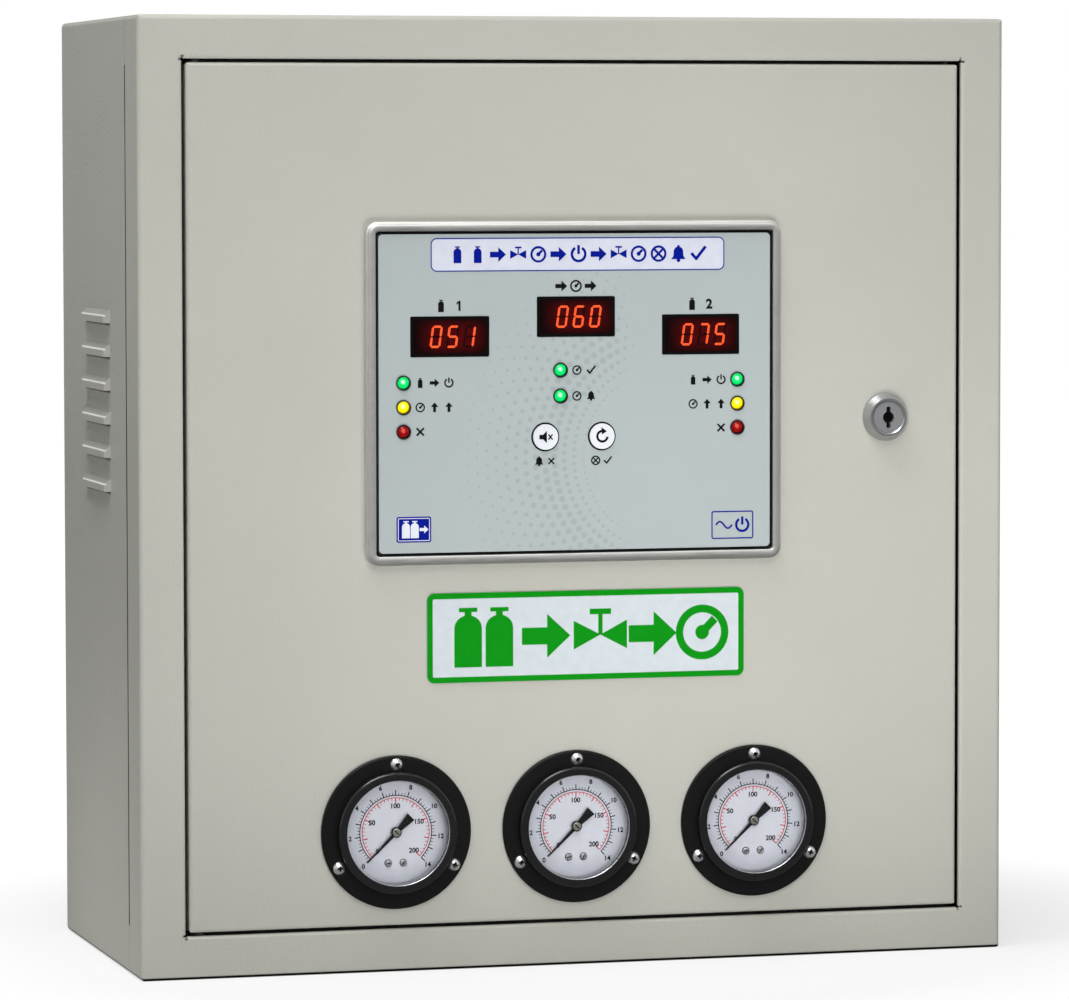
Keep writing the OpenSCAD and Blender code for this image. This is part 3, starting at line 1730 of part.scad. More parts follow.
// Screws through the gauge flanges, with sockets in their heads, and the nuts behind the door
module gauge_fixings() {
  crown_r = (pow(gauge_head_dia / 2, 2) + pow(gauge_head_h, 2)) / (2 * gauge_head_h);
  key_flats = 2.5;
  color(chrome)
    at_gauge_screws() {
      difference() {
        union() {
          intersection() {
            translate([0, 0, flange_t])
              cylinder(d = gauge_head_dia, h = gauge_head_h);
            translate([0, 0, flange_t + gauge_head_h - crown_r])
              sphere(r = crown_r, $fn = 48);
          }
          translate([0, 0, -sheet_t - nut_h - loose_fit])
            cylinder(d = gauge_screw_dia, h = flange_t + sheet_t + nut_h + 2 * loose_fit);
        }
        translate([0, 0, flange_t + gauge_head_h / 3])
          hexagon(key_flats, gauge_head_h);
      }
      translate([0, 0, -sheet_t - nut_h])
        difference() {
          hexagon(nut_flats, nut_h);
          translate([0, 0, -cut])
            cylinder(d = gauge_screw_dia + loose_fit, h = nut_h + 2 * cut);
        }
    }
}

// Pointer with its tail, hub and arbor, at zero
module gauge_pointer(i) {
  low = pointer_gap - dial_back;
  arbor_low = -2 * arbor_dia - dial_t;
  color(black)
    translate([gauge_x + i * gauge_pitch, gauge_up, 0])
      rotate(zero_angle) {
        translate([0, 0, low])
          linear_extrude(pointer_t)
            polygon([
              [-pointer_tip_w / 2, pointer_l], [pointer_tip_w / 2, pointer_l],
              [pointer_root_w / 2, 0], [pointer_tail_w / 2, -pointer_tail_l],
              [-pointer_tail_w / 2, -pointer_tail_l], [-pointer_root_w / 2, 0]
            ]);
        translate([0, 0, low - pointer_t / 2])
          cylinder(d = hub_dia, h = 2 * pointer_t);
        translate([0, 0, arbor_low])
          cylinder(d = arbor_dia, h = low - arbor_low + 2 * pointer_t);
      }
}

stand() cabinet_shell();
stand() back_panel();
stand() gland_plate();
stand() cable_grommet();
stand() front_frame();
stand() door_stop();
stand() door_seal();
stand() hinge_bushes();
stand() mounting_plate();
stand() plate_fixings();
stand() pipe_unions();
stand() copper_pipes();
stand() pipe_clamps();
stand() regulator_body(-1);  // regulator_body_1
stand() regulator_body(1);  // regulator_body_2
stand() regulator_bonnet(-1);  // regulator_bonnet_1
stand() regulator_bonnet(1);  // regulator_bonnet_2
stand() regulator_knob(-1);  // regulator_knob_1
stand() regulator_knob(1);  // regulator_knob_2
stand() solenoid_valve(-1);  // solenoid_valve_1
stand() solenoid_valve(1);  // solenoid_valve_2
stand() solenoid_coil(-1);  // solenoid_coil_1
stand() solenoid_coil(1);  // solenoid_coil_2
stand() check_valves();
stand() junction_block();
stand() pressure_sensors();
stand() power_supply();
stand() terminal_rail();
stand() terminal_blocks();
stand() door_panel();
stand() hinge_pins();
stand() lock_barrel();
stand() lock_nut();
stand() lock_plug();
stand() lock_cam();
stand() panel_bezel();
stand() panel_face();
stand() display_windows();
stand() display_modules();
stand() lamp_rings();
stand() lamps_green();
stand() lamps_yellow();
stand() lamps_red();
stand() button(button_places[0]);  // mute_button
stand() button(button_places[1]);  // test_button
stand() circuit_board();
stand() board_parts();
stand() board_spacers();
stand() rear_cover();
stand() cover_screws();
stand() label_plate();
stand() gauge_cases();
stand() gauge_lenses();
stand() gauge_lens_rings();
stand() gauge_dials();
stand() gauge_movements();
stand() gauge_fixings();
stand() gauge_pointer(-1);  // gauge_pointer_1
stand() gauge_pointer(0);  // gauge_pointer_2
stand() gauge_pointer(1);  // gauge_pointer_3
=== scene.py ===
import json
import math

import bmesh
import bpy
from mathutils import Matrix, Vector


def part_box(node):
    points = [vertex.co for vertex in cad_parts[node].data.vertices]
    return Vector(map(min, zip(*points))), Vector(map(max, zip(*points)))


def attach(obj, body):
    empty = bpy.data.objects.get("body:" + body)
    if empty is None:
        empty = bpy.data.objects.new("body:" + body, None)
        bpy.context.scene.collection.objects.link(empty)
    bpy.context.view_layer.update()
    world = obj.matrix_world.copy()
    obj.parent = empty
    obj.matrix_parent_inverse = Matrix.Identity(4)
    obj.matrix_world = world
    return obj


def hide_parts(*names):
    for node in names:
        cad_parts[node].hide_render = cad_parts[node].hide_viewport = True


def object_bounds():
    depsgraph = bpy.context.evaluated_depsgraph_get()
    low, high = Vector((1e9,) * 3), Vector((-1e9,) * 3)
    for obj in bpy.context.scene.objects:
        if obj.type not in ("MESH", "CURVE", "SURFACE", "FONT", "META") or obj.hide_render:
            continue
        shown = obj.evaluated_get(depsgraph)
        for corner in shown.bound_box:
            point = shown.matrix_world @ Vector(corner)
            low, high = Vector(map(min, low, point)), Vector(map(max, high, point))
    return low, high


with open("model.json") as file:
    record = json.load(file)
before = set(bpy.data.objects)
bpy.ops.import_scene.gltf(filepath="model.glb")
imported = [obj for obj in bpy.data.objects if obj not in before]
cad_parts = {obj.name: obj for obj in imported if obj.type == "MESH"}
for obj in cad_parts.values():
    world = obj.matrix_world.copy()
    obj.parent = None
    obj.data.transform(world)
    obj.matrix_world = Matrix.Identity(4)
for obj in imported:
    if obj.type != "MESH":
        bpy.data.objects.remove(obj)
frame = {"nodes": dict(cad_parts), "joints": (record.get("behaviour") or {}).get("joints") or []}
cad_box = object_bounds()

# Front view: x to the right, y up from the base, z out of the door's face, in metres
FRONT_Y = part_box("door_panel")[0][1]
FRONT = Matrix.Translation((0, FRONT_Y, 0)) @ Matrix.Rotation(math.radians(90), 4, "X")


def front_middle(node):
    """Middle of a CAD node in the front view, and the height of its front face over the door."""
    low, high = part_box(node)
    return Vector(((low[0] + high[0]) / 2, (low[2] + high[2]) / 2, FRONT_Y - low[1]))


def joint_place(name):
    """Place of a joint's axis in the front view."""
    place = next(joint["pos_m"] for joint in frame["joints"] if joint["name"] == name)
    return Vector((place[0], place[2], 0))


# Places of the pieces on the door
UNIT = front_middle("panel_bezel")
PLATE_Z = front_middle("panel_face").z
LABEL = front_middle("label_plate")
BUTTONS = {"mute": front_middle("mute_button"), "test": front_middle("test_button")}
LOCK = joint_place("lock_turn")
GAUGES = [joint_place(f"pointer_{i}_turn") for i in (1, 2, 3)]
DIAL_Z = FRONT_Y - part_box("gauge_dials")[0][1]
POINTER_Z = front_middle("gauge_pointer_1").z
SCREW_Z = front_middle("gauge_fixings").z
PLUG_Z = front_middle("lock_plug").z

# Sizes of the printed and modelled pieces; an outline is given as width, height and corner radius
INK = 0.00008
BEZEL = (0.240, 0.190, 0.007)
BEZEL_TOP, BEZEL_STEP, STEP_WIDTH = 0.0056, 0.0036, 0.0011
PLATE = (0.2274, 0.1774, 0.003)
BLACK_LINE = 0.0011
DISPLAY = (0.045, 0.0224, 0.0012)
WINDOW_BACK, WINDOW_PROUD, WINDOW_RIM = 0.0022, 0.0003, 0.0016
WINDOW_Z = PLATE_Z + WINDOW_PROUD
DISPLAYS = ((-0.0725, 0.0315, "051"), (0.0, 0.042, "060"), (0.0725, 0.0315, "075"))
DIGIT_WIDTH, DIGIT_HEIGHT, DIGIT_STROKE = 0.0062, 0.0124, 0.00125
DIGIT_PITCH, DIGIT_SHIFT = 0.0095, 0.0016
DIGIT_SLANT = math.radians(8)
BANNER = (0.1697, 0.0186, 0.0035)
BANNER_Y = 0.3982
LABEL_SIZE = (0.184, 0.050, 0.004)
LABEL_BORDER = 0.0032
KEY_SLOT = (0.0024, 0.012, 0.0066)
ZERO_ANGLE = math.radians(225)
SWEEP = math.radians(270)
RIM_RADIUS = 0.034
LENS_RADIUS, LENS_RING_WIDTH = 0.0301, 0.0010
LENS_Z = front_middle("gauge_lenses").z
DIAL_SCREW_X, DIAL_SCREW_Y, DIAL_SCREW_RADIUS = 0.0043, -0.0172, 0.0018
FRAME_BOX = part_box("front_frame")
MIDDLE_Z = (FRAME_BOX[0][2] + FRAME_BOX[1][2]) / 2
# Joint of shell and frame: where it lies, the width of the band of painted shade along it, and half the
# height over which that shade is full
SEAM_Y, SEAM_SHADE_WIDTH, SEAM_HALF = FRAME_BOX[1][1], 0.0022, MIDDLE_Z - 0.027
LOUVRE_LOW, LOUVRE_PITCH, LOUVRE_LENGTH, LOUVRE_COUNT = 0.26515, 0.0189, 0.071, 6
LOUVRE_Y, LOUVRE_LIP = 0.005, 0.0041
DOOR_GAP = 0.002
DOOR_LOW, DOOR_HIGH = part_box("door_panel")
OPENING = tuple(DOOR_HIGH[axis] - DOOR_LOW[axis] + 2 * DOOR_GAP for axis in (0, 2))

# Middles of the pieces inside, and their sizes
REGULATORS = [front_middle(f"regulator_body_{i}") for i in (1, 2)]
KNOBS = [front_middle(f"regulator_knob_{i}") for i in (1, 2)]
VALVES = [front_middle(f"solenoid_valve_{i}") for i in (1, 2)]
JUNCTION = front_middle("junction_block")
TERMINALS = front_middle("terminal_blocks")
SUPPLY = front_middle("power_supply")
LINES_Y = 0.042
PORT_RADIUS, PORT_LOW, PORT_LENGTH = 0.00928, 0.0145, 0.015
STEM_RADIUS, STEM_BACK, STEM_LENGTH = 0.0065, -0.0455, 0.0156
UPRIGHT = Matrix.Identity(4)


# Operators on what is selected

def deselect():
    """Goes back to object mode with nothing selected."""
    if bpy.context.mode != "OBJECT":
        bpy.ops.object.mode_set(mode="OBJECT")
    bpy.ops.object.select_all(action="DESELECT")


def take(*pieces):
    """Selects these pieces alone, the first one active."""
    deselect()
    for piece in pieces:
        piece.select_set(True)
    bpy.context.view_layer.objects.active = pieces[0]


def start(name, primitive, **sizes):
    """Adds a primitive with nothing else selected, and names it."""
    deselect()
    primitive(**sizes)
    piece = bpy.context.object
    piece.name = name
    return piece


def edit(piece):
    """Opens a piece in edit mode with all of it selected."""
    take(piece)
    bpy.ops.object.mode_set(mode="EDIT")
    bpy.ops.mesh.select_all(action="SELECT")
    return bmesh.from_edit_mesh(piece.data)


def select_where(piece, kind, test):
    """Selects the vertices or edges that pass a test on their place."""
    bpy.ops.mesh.select_mode(type=kind)
    bpy.ops.mesh.select_all(action="DESELECT")
    mesh = bmesh.from_edit_mesh(piece.data)
    for item in mesh.verts if kind == "VERT" else mesh.edges:
        if test(item):
            item.select_set(True)
    mesh.select_flush_mode()
    bmesh.update_edit_mesh(piece.data)


def extrude(rise):
    """Extrudes what is selected along z."""
    bpy.ops.mesh.extrude_region_move(TRANSFORM_OT_translate={"value": (0, 0, rise)})


def close(piece, smooth=None):
    """Merges doubles, turns the faces outwards and leaves edit mode."""
    bpy.ops.mesh.select_all(action="SELECT")
    bpy.ops.mesh.remove_doubles(threshold=1e-7)
    bpy.ops.mesh.normals_make_consistent(inside=False)
    bpy.ops.object.mode_set(mode="OBJECT")
    if smooth:
        bpy.ops.object.shade_smooth_by_angle(angle=math.radians(smooth))
    return piece


def copy_of(piece, name):
    """A copy with its own mesh."""
    take(piece)
    bpy.ops.object.duplicate(linked=False)
    copy = bpy.context.object
    copy.name = name
    return copy


def join(name, *pieces):
    """Joins pieces into one."""
    take(*pieces)
    bpy.ops.object.join()
    pieces[0].name = name
    return pieces[0]


def settle(piece, matrix):
    """Moves a piece by a matrix, into its mesh."""
    take(piece)
    piece.matrix_world = matrix
    bpy.ops.object.transform_apply(location=True, rotation=True, scale=True)
    return piece


def shift(piece, x=0.0, y=0.0, z=0.0, turn=0.0):
    """Turns and moves a piece in the front view."""
    return settle(piece, Matrix.Translation((x, y, z)) @ Matrix.Rotation(turn, 4, "Z"))


def remove(*patterns):
    """Removes patterns that have been copied."""
    for pattern in patterns:
        bpy.data.objects.remove(pattern)


def repeat(name, pattern, places):
    """Copies of a pattern at places (x, y, z, turn), as one piece."""
    copies = [shift(copy_of(pattern, "copy"), *place) for place in places]
    remove(pattern)
    return join(name, *copies)


def stand(piece, body, finish, seat=FRONT):
    """Stands a piece drawn in the front view up before the door, with its material and body."""
    settle(piece, seat)
    piece.data.materials.clear()
    piece.data.materials.append(finish)
    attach(piece, body)


def lay(piece, x, y, z, finish, slot=None, body="door"):
    """Moves a piece to its place in the front view and stands it up."""
    stand(shift(piece, x, y, z), body, finish)


# Outlines

def polar(radius, angle):
    """A point at a distance and an angle from the origin."""
    return radius * math.cos(angle), radius * math.sin(angle)


def rounded_box(width, height, radius, steps=6):
    """Corners of a rectangle with rounded corners, anticlockwise round the origin."""
    points = []
    for corner, (sx, sy) in enumerate(((1, 1), (-1, 1), (-1, -1), (1, -1))):
        for step in range(steps + 1):
            x, y = polar(radius, (corner + step / steps) * math.pi / 2)
            points.append((sx * (width / 2 - radius) + x, sy * (height / 2 - radius) + y))
    return points


def round_outline(radius, steps=32):
    """Corners of a circle, anticlockwise."""
    return [polar(radius, 2 * math.pi * i / steps) for i in range(steps)]


def flat(name, points):
    """A flat face with this outline, drawn out of a circle with as many corners."""
    circle = bpy.ops.mesh.primitive_circle_add
    piece = start(name, circle, vertices=len(points), radius=0.01, fill_type="NGON")
    mesh = edit(piece)
    for corner, (x, y) in zip(mesh.verts, points):
        corner.co = (x, y, 0)
    bmesh.update_edit_mesh(piece.data)
    return piece


def film(name, points, rise=INK):
    """A printed shape or a thin plate with this outline."""
    piece = flat(name, points)
    extrude(rise)
    return close(piece)


def line_frame(name, points, width, rise=INK):
    """A line of this width inside an outline."""
    piece = flat(name, points)
    bpy.ops.mesh.inset(thickness=width)
    bpy.ops.mesh.delete(type="FACE")
    bpy.ops.mesh.select_all(action="SELECT")
    extrude(rise)
    return close(piece)


def bar(begin, end, width, rise=INK):
    """A straight printed stroke from one point to another."""
    begin, end = Vector(begin), Vector(end)
    side = (end - begin).orthogonal().normalized() * width / 2
    return film("stroke", [tuple(p) for p in (begin - side, end - side, end + side, begin + side)], rise)


def disc(x, y, radius):
    """A printed dot."""
    return film("dot", [(x + px, y + py) for px, py in round_outline(radius, 24)])


def ring(x, y, radius, width):
    """A printed ring."""
    return shift(line_frame("ring", round_outline(radius), width), x, y)


def arc(inner, outer, begin, sweep, steps=32):
    """A printed arc round the origin, anticlockwise: one edge, spun and raised.

    Spin turns by the negative angle.
    """
    piece = start("arc", bpy.ops.mesh.primitive_plane_add, size=1)
    edit(piece)
    select_where(piece, "VERT", lambda corner: corner.co.x > 0)
    bpy.ops.mesh.delete(type="VERT")
    mesh = bmesh.from_edit_mesh(piece.data)
    for corner, radius in zip(mesh.verts, (inner, outer)):
        corner.co = (*polar(radius, begin), 0)
    bmesh.update_edit_mesh(piece.data)
    bpy.ops.mesh.select_all(action="SELECT")
    bpy.ops.mesh.spin(steps=steps, angle=-sweep, center=(0, 0, 0), axis=(0, 0, 1))
    bpy.ops.mesh.select_all(action="SELECT")
    extrude(rise=INK)
    return close(piece)


def ticks(inner, outer, width, begin, count, rise=INK):
    """Strokes of a dial's scale: one stroke, repeated by a spin."""
    piece = bar(polar(inner, begin), polar(outer, begin), width, rise)
    edit(piece)
    bpy.ops.mesh.spin(steps=count, dupli=True, angle=-SWEEP, center=(0, 0, 0), axis=(0, 0, 1))
    return close(piece)


def figures(words, height, x, y, bold):
    """Figures of a given height round a point, as a raised print."""
    deselect()
    bpy.ops.object.text_add()
    piece = bpy.context.object
    piece.data.body = words
    piece.data.resolution_u = 4
    piece.data.extrude = INK / 2
    piece.data.offset = bold / height
    bpy.ops.object.convert(target="MESH")
    low, high = (Vector([end(v.co[i] for v in piece.data.vertices) for i in range(3)]) for end in (min, max))
    size = height / (high.y - low.y)
    middle = (low + high) / 2
    mesh = edit(piece)
    for corner in mesh.verts:
        corner.co = ((corner.co.x - middle.x) * size, (corner.co.y - middle.y) * size, corner.co.z + INK / 2)
    bmesh.update_edit_mesh(piece.data)
    close(piece)
    return shift(piece, x, y)


# Finishes

BLACK, WHITE = (0, 0, 0, 1), (1, 1, 1, 1)


def screen(red, green, blue):
    """A colour as the screen shows it, made linear."""
    levels = [value / 255 for value in (red, green, blue)]
    return tuple(v / 12.92 if v <= 0.04045 else ((v + 0.055) / 1.055) ** 2.4 for v in levels) + (1.0,)


def tone(colour):
    """A screen colour made linear; anything else stays as it is."""
    return screen(*colour) if isinstance(colour, tuple) and len(colour) == 3 else colour


class Nodes:
    """A tree of shader nodes."""

    def __init__(self, owner):
        owner.use_nodes = True
        self.tree = owner.node_tree

    def feed(self, socket, value):
        """Links a node's output to a socket, or sets the socket's value."""
        if isinstance(value, bpy.types.NodeSocket):
            self.tree.links.new(value, socket)
        else:
            socket.default_value = value

    def node(self, kind, inputs=(), **settings):
        """A node with its inputs by place or name, and its settings by name."""
        node = self.tree.nodes.new("ShaderNode" + kind)
        for name, value in settings.items():
            setattr(node, name, value)
        for index, value in inputs:
            self.feed(node.inputs[index], value)
        return node

    def maths(self, operation, a, b=0.0):
        return self.node("Math", ((0, a), (1, b)), operation=operation).outputs[0]

    def times(self, product, *values):
        for value in values:
            product = self.maths("MULTIPLY", product, value)
        return product

    def minus(self, a, b):
        return self.maths("SUBTRACT", a, b)

    def size(self, value):
        return self.maths("ABSOLUTE", value)

    def gap(self, a, b):
        """How far apart two values are."""
        return self.size(self.minus(a, b))

    def axes(self, vector):
        return self.node("SeparateXYZ", ((0, vector),)).outputs

    def span(self, value, low, high, to_low, to_high):
        """Maps a value from one range to another, clamped."""
        return self.node("MapRange", ((0, value), (1, low), (2, high), (3, to_low), (4, to_high))).outputs[0]


class Finish(Nodes):
    """A material whose pattern lies on the piece's own coordinates."""

    def __init__(self, name, colour, roughness, metallic=0.0):
        self.material = bpy.data.materials.new(name)
        super().__init__(self.material)
        self.shader = self.tree.nodes["Principled BSDF"]
        self.colour = screen(*colour)
        self.set("Base Color", self.colour)
        self.set("Roughness", roughness)
        self.set("Metallic", metallic)
        self.place = self.tree.nodes.new("ShaderNodeTexCoord").outputs

    def set(self, name, value):
        self.feed(self.shader.inputs[name], value)

    def centred(self, x, y, z):
        """Object coordinates from a point of the piece."""
        return self.node("VectorMath", ((0, self.place["Object"]), (1, (x, y, z))),
                         operation="SUBTRACT").outputs[0]

    def stretched(self, x, y, z):
        """Object coordinates scaled along each axis."""
        return self.node("Mapping", (("Vector", self.place["Object"]), ("Scale", (x, y, z)))).outputs[0]

    def noise(self, scale, detail=2.0, vector=None):
        return self.node("TexNoise", (("Vector", vector or self.place["Object"]), ("Scale", scale),
                                      ("Detail", detail))).outputs[0]

    def spread(self, noise, low, high):
        """Maps the middle of a noise to a range."""
        return self.span(noise, 0.3, 0.7, low, high)

    def roughen(self, noise, low, high):
        """Lets the roughness follow a noise."""
        self.set("Roughness", self.spread(noise, low, high))

    def mix(self, factor, a, b):
        return self.node("Mix", ((0, factor), (6, tone(a)), (7, tone(b))), data_type="RGBA").outputs[2]

    def shade(self, factor, dark, light):
        """Mixes the finish's colour between a darker and a lighter tone of itself."""
        return self.mix(factor, tuple(c * dark for c in self.colour[:3]) + (1.0,),
                        tuple(min(c * light, 1.0) for c in self.colour[:3]) + (1.0,))

    def cloud(self, scale, dark, light):
        """Lets the colour drift between a darker and a lighter tone of itself."""
        self.set("Base Color", self.shade(self.noise(scale, 3), dark, light))

    def length(self, a, b):
        """Length of a vector with these two parts."""
        return self.maths("SQRT", self.maths("ADD", self.times(a, a), self.times(b, b)))

    def axis_distance(self, x, z):
        """Distance from an axis along y."""
        right, _, up = self.axes(self.centred(x, 0, z))
        return self.length(right, up)

    def gauge_distance(self):
        """Distance from the axis of the nearest gauge."""
        nearest = self.axis_distance(GAUGES[0].x, GAUGES[0].y)
        for gauge in GAUGES[1:]:
            nearest = self.maths("MINIMUM", nearest, self.axis_distance(gauge.x, gauge.y))
        return nearest

    def ramp(self, factor, *stops):
        node = self.node("ValToRGB", ((0, factor),))
        stripe = node.color_ramp.elements
        while len(stripe) < len(stops):
            stripe.new(0.5)
        for element, (position, colour) in zip(stripe, stops):
            element.position = position
            element.color = tone(colour)
        return node.outputs[0]

    def bump(self, height, strength, distance):
        self.set("Normal", self.node("Bump", (("Strength", strength), ("Distance", distance),
                                              ("Height", height))).outputs[0])


def powder_coat(name, colour):
    """Baked powder coat with a fine orange peel, and dust on the slopes of the louvres.

    Painted shade darkens the shell's joint with the frame, the gap round the door, the bottom edge and the
    slits of the louvres; a painted highlight lightens their bends.
    """
    coat = Finish(name, colour, 0.4)
    peel = coat.noise(480, 3)
    tone = coat.maths("ADD", coat.times(coat.noise(7, 4), 0.55), coat.times(coat.noise(2100, 1), 0.45))
    paint = coat.shade(coat.spread(tone, 0, 1), 0.94, 1.05)
    x, y, z = coat.axes(coat.place["Object"])
    side = coat.minus(FRAME_BOX[1][0], coat.size(x))
    height = coat.gap(z, MIDDLE_Z)
    behind = coat.minus(y, FRONT_Y)

    # Painted shade: a dark band along the shell's joint with the frame, on the side walls, weaker towards its
    # ends.
    half = SEAM_SHADE_WIDTH / 2
    painted_seam_shade = coat.times(coat.span(coat.gap(y, SEAM_Y + half), half, half + 0.0002, 1, 0),
                      coat.span(side, 0.0014, 0.0016, 1, 0),
                      coat.span(height, SEAM_HALF - 0.0005, SEAM_HALF + 0.0005, 1, 0.18))
    # Painted shade in the gap round the door, on surfaces more than 2 to 3 mm behind the front face.
    opening = coat.maths("MAXIMUM", coat.minus(coat.size(x), OPENING[0] / 2),
                         coat.minus(height, OPENING[1] / 2))
    painted_gap_shade = coat.times(coat.span(coat.gap(opening, DOOR_GAP / 2), 0.0013, 0.0014, 1, 0),
                      coat.span(behind, 0.002, 0.003, 0, 1))
    # Painted shade along the bottom edge: the lowest 1.4 to 1.8 mm, within 3 mm of the outer faces.
    painted_foot_shade = coat.times(coat.span(z, 0.0014, 0.0018, 1, 0),
                      coat.span(coat.maths("MINIMUM", side, behind), 0.003, 0.0032, 1, 0))

    rows = coat.maths("DIVIDE", coat.minus(LOUVRE_LOW, z), LOUVRE_PITCH)
    drop = coat.times(coat.maths("FRACT", rows), LOUVRE_PITCH)
    reach = (LOUVRE_COUNT - 1) / 2
    half = LOUVRE_LENGTH / 2
    # Painted shade: a dark band just under the lip of each louvre, fading out over a millimetre.
    painted_slit_shade = coat.times(coat.span(drop, 0.0008, 0.0018, 0.95, 0),
                      coat.span(coat.gap(rows, -reach), reach + 0.2, reach + 0.21, 1, 0),
                      coat.span(coat.gap(y, LOUVRE_Y), half - 0.001, half, 1, 0),
                      coat.span(coat.size(side), 0.0004, 0.0006, 1, 0))
    # Painted highlight: a near-white line along the bend at the top of each louvre's lip.
    painted_bend_highlight = coat.times(coat.span(coat.gap(drop, LOUVRE_PITCH - LOUVRE_LIP), 0.0003, 0.0006, 1, 0),
                      coat.span(side, -0.0025, -0.002, 1, 0))
    # Painted shade on faces that look up and sideways, the slopes of the louvres.
    facing = coat.axes(coat.place["Normal"])
    painted_slope_shade = coat.times(coat.span(facing[2], 0.55, 0.68, 0, 0.52),
                      coat.span(coat.size(facing[0]), 0.5, 0.6, 0, 1))

    # Painted shade turns the coat near-black and dulls its gloss; the painted highlight turns it near-white.
    dark = painted_seam_shade
    for line in (painted_slit_shade, painted_gap_shade, painted_foot_shade):
        dark = coat.maths("MAXIMUM", dark, line)
    paint = coat.mix(painted_bend_highlight, coat.mix(painted_slope_shade, paint, (96, 96, 92)), (253, 253, 250))
    coat.set("Base Color", coat.mix(dark, paint, (14, 14, 14)))
    coat.set("Specular IOR Level", coat.span(dark, 0, 1, 0.5, 0.05))
    coat.roughen(peel, 0.3, 0.44)
    coat.bump(peel, 0.42, 0.0005)
    return coat.material


def moulded(name, colour, roughness, grain=900, depth=0.00012, gloss=0.3):
    """Moulded plastic or rubber with a fine eroded grain."""
    plastic = Finish(name, colour, roughness)
    plastic.set("Specular IOR Level", gloss)
    grains = plastic.noise(grain, 3)
    plastic.cloud(30, 0.88, 1.1)
    plastic.roughen(grains, roughness - 0.08, roughness + 0.1)
    plastic.bump(grains, 0.25, depth)
    return plastic.material


def metal(name, colour, roughness, stretch=(1, 1, 1)):
    """Metal with fine marks along its working direction and a little uneven gloss."""
    sheet = Finish(name, colour, roughness, 1.0)
    marks = sheet.noise(900, 3, sheet.stretched(*stretch))
    sheet.cloud(40, 0.9, 1.06)
    sheet.roughen(marks, roughness * 0.75, roughness * 1.3)
    sheet.bump(marks, 0.2, 0.00003)
    return sheet.material


def turned_metal(name, colour, roughness, x, z):
    """Metal turned on a lathe about an axis along y: rings round that axis."""
    turned = Finish(name, colour, roughness, 1.0)
    radius = turned.times(turned.axis_distance(x, z), 9000)
    rings = turned.node("TexNoise", (("W", radius), ("Scale", 1.0), ("Detail", 3.0)),
                        noise_dimensions="1D").outputs[0]
    turned.cloud(60, 0.92, 1.05)
    turned.roughen(rings, roughness * 0.7, roughness * 1.4)
    turned.bump(rings, 0.15, 0.00003)
    return turned.material


def galvanised(name):
    """Zinc plated steel with a faint spangle."""
    zinc = Finish(name, (188, 192, 194), 0.36, 1.0)
    spangle = zinc.node("TexVoronoi", (("Vector", zinc.place["Object"]), ("Scale", 130)))
    zinc.set("Base Color", zinc.mix(zinc.noise(18, 3), (176, 181, 186), (205, 202, 186)))
    zinc.set("Roughness", zinc.span(spangle.outputs["Color"], 0, 1, 0.28, 0.46))
    zinc.bump(zinc.noise(500, 3), 0.15, 0.00005)
    return zinc.material


def copper_tube():
    """Drawn copper pipe, lightly tarnished."""
    copper = Finish("copper_tube", (206, 128, 92), 0.3, 1.0)
    tarnish = copper.noise(34, 5)
    copper.set("Base Color", copper.ramp(tarnish, (0.3, (150, 84, 58)), (0.5, (204, 124, 88)),
                                         (0.75, (222, 150, 112))))
    copper.roughen(tarnish, 0.46, 0.24)
    copper.bump(copper.noise(700, 2, copper.stretched(1, 1, 0.04)), 0.15, 0.00004)
    return copper.material


def cast_brass():
    """Forged brass body with a satin skin."""
    brass = Finish("forged_brass", (206, 170, 98), 0.34, 1.0)
    skin = brass.noise(420, 3)
    brass.set("Base Color", brass.ramp(brass.noise(26, 4), (0.3, (176, 138, 72)),
                                       (0.7, (220, 188, 116))))
    brass.roughen(skin, 0.28, 0.44)
    brass.bump(skin, 0.2, 0.00008)
    return brass.material


def overlay_film():
    """Printed film of the front plate: pale blue grey with a faint fan of dots round one point."""
    plate = Finish("overlay_film", (174, 183, 183), 0.42)
    right, _, up = plate.axes(plate.centred(UNIT.x + 0.052, 0, UNIT.y - 0.036))
    radius = plate.length(right, up)
    ring_pitch, ring_count = 0.0056, 84
    row = plate.maths("DIVIDE", radius, ring_pitch)
    across = plate.times(plate.minus(plate.maths("FRACT", row), 0.5), ring_pitch)
    stagger = plate.times(plate.maths("FLOOR", row), 0.5)
    turn = plate.times(plate.maths("ARCTAN2", up, right), ring_count / (2 * math.pi))
    share = plate.maths("FRACT", plate.maths("ADD", turn, stagger))
    along = plate.times(plate.minus(share, 0.5), plate.times(radius, 2 * math.pi / ring_count))
    grow = plate.span(radius, 0.034, 0.066, 0, 0.0021)
    fade = plate.span(radius, 0.066, 0.135, 1, 0.12)
    left = plate.span(right, -0.03, -0.012, 1, 0)
    inside = plate.minus(plate.times(grow, fade, left), plate.length(across, along))
    dots = plate.span(inside, 0, 0.0005, 0, 1)
    paper = plate.shade(plate.noise(22, 3), 0.965, 1.03)
    plate.set("Base Color", plate.mix(plate.times(dots, 0.8), paper, (159, 168, 168)))
    plate.roughen(plate.noise(1500), 0.36, 0.5)
    plate.bump(plate.noise(1800), 0.12, 0.00006)
    return plate.material


def print_ink(name, colour, roughness=0.45):
    """Screen printed ink, a little uneven."""
    ink = Finish(name, colour, roughness)
    ink.set("Specular IOR Level", 0.12)
    ink.cloud(180, 0.9, 1.08)
    ink.roughen(ink.noise(1300), roughness - 0.08, roughness + 0.08)
    return ink.material


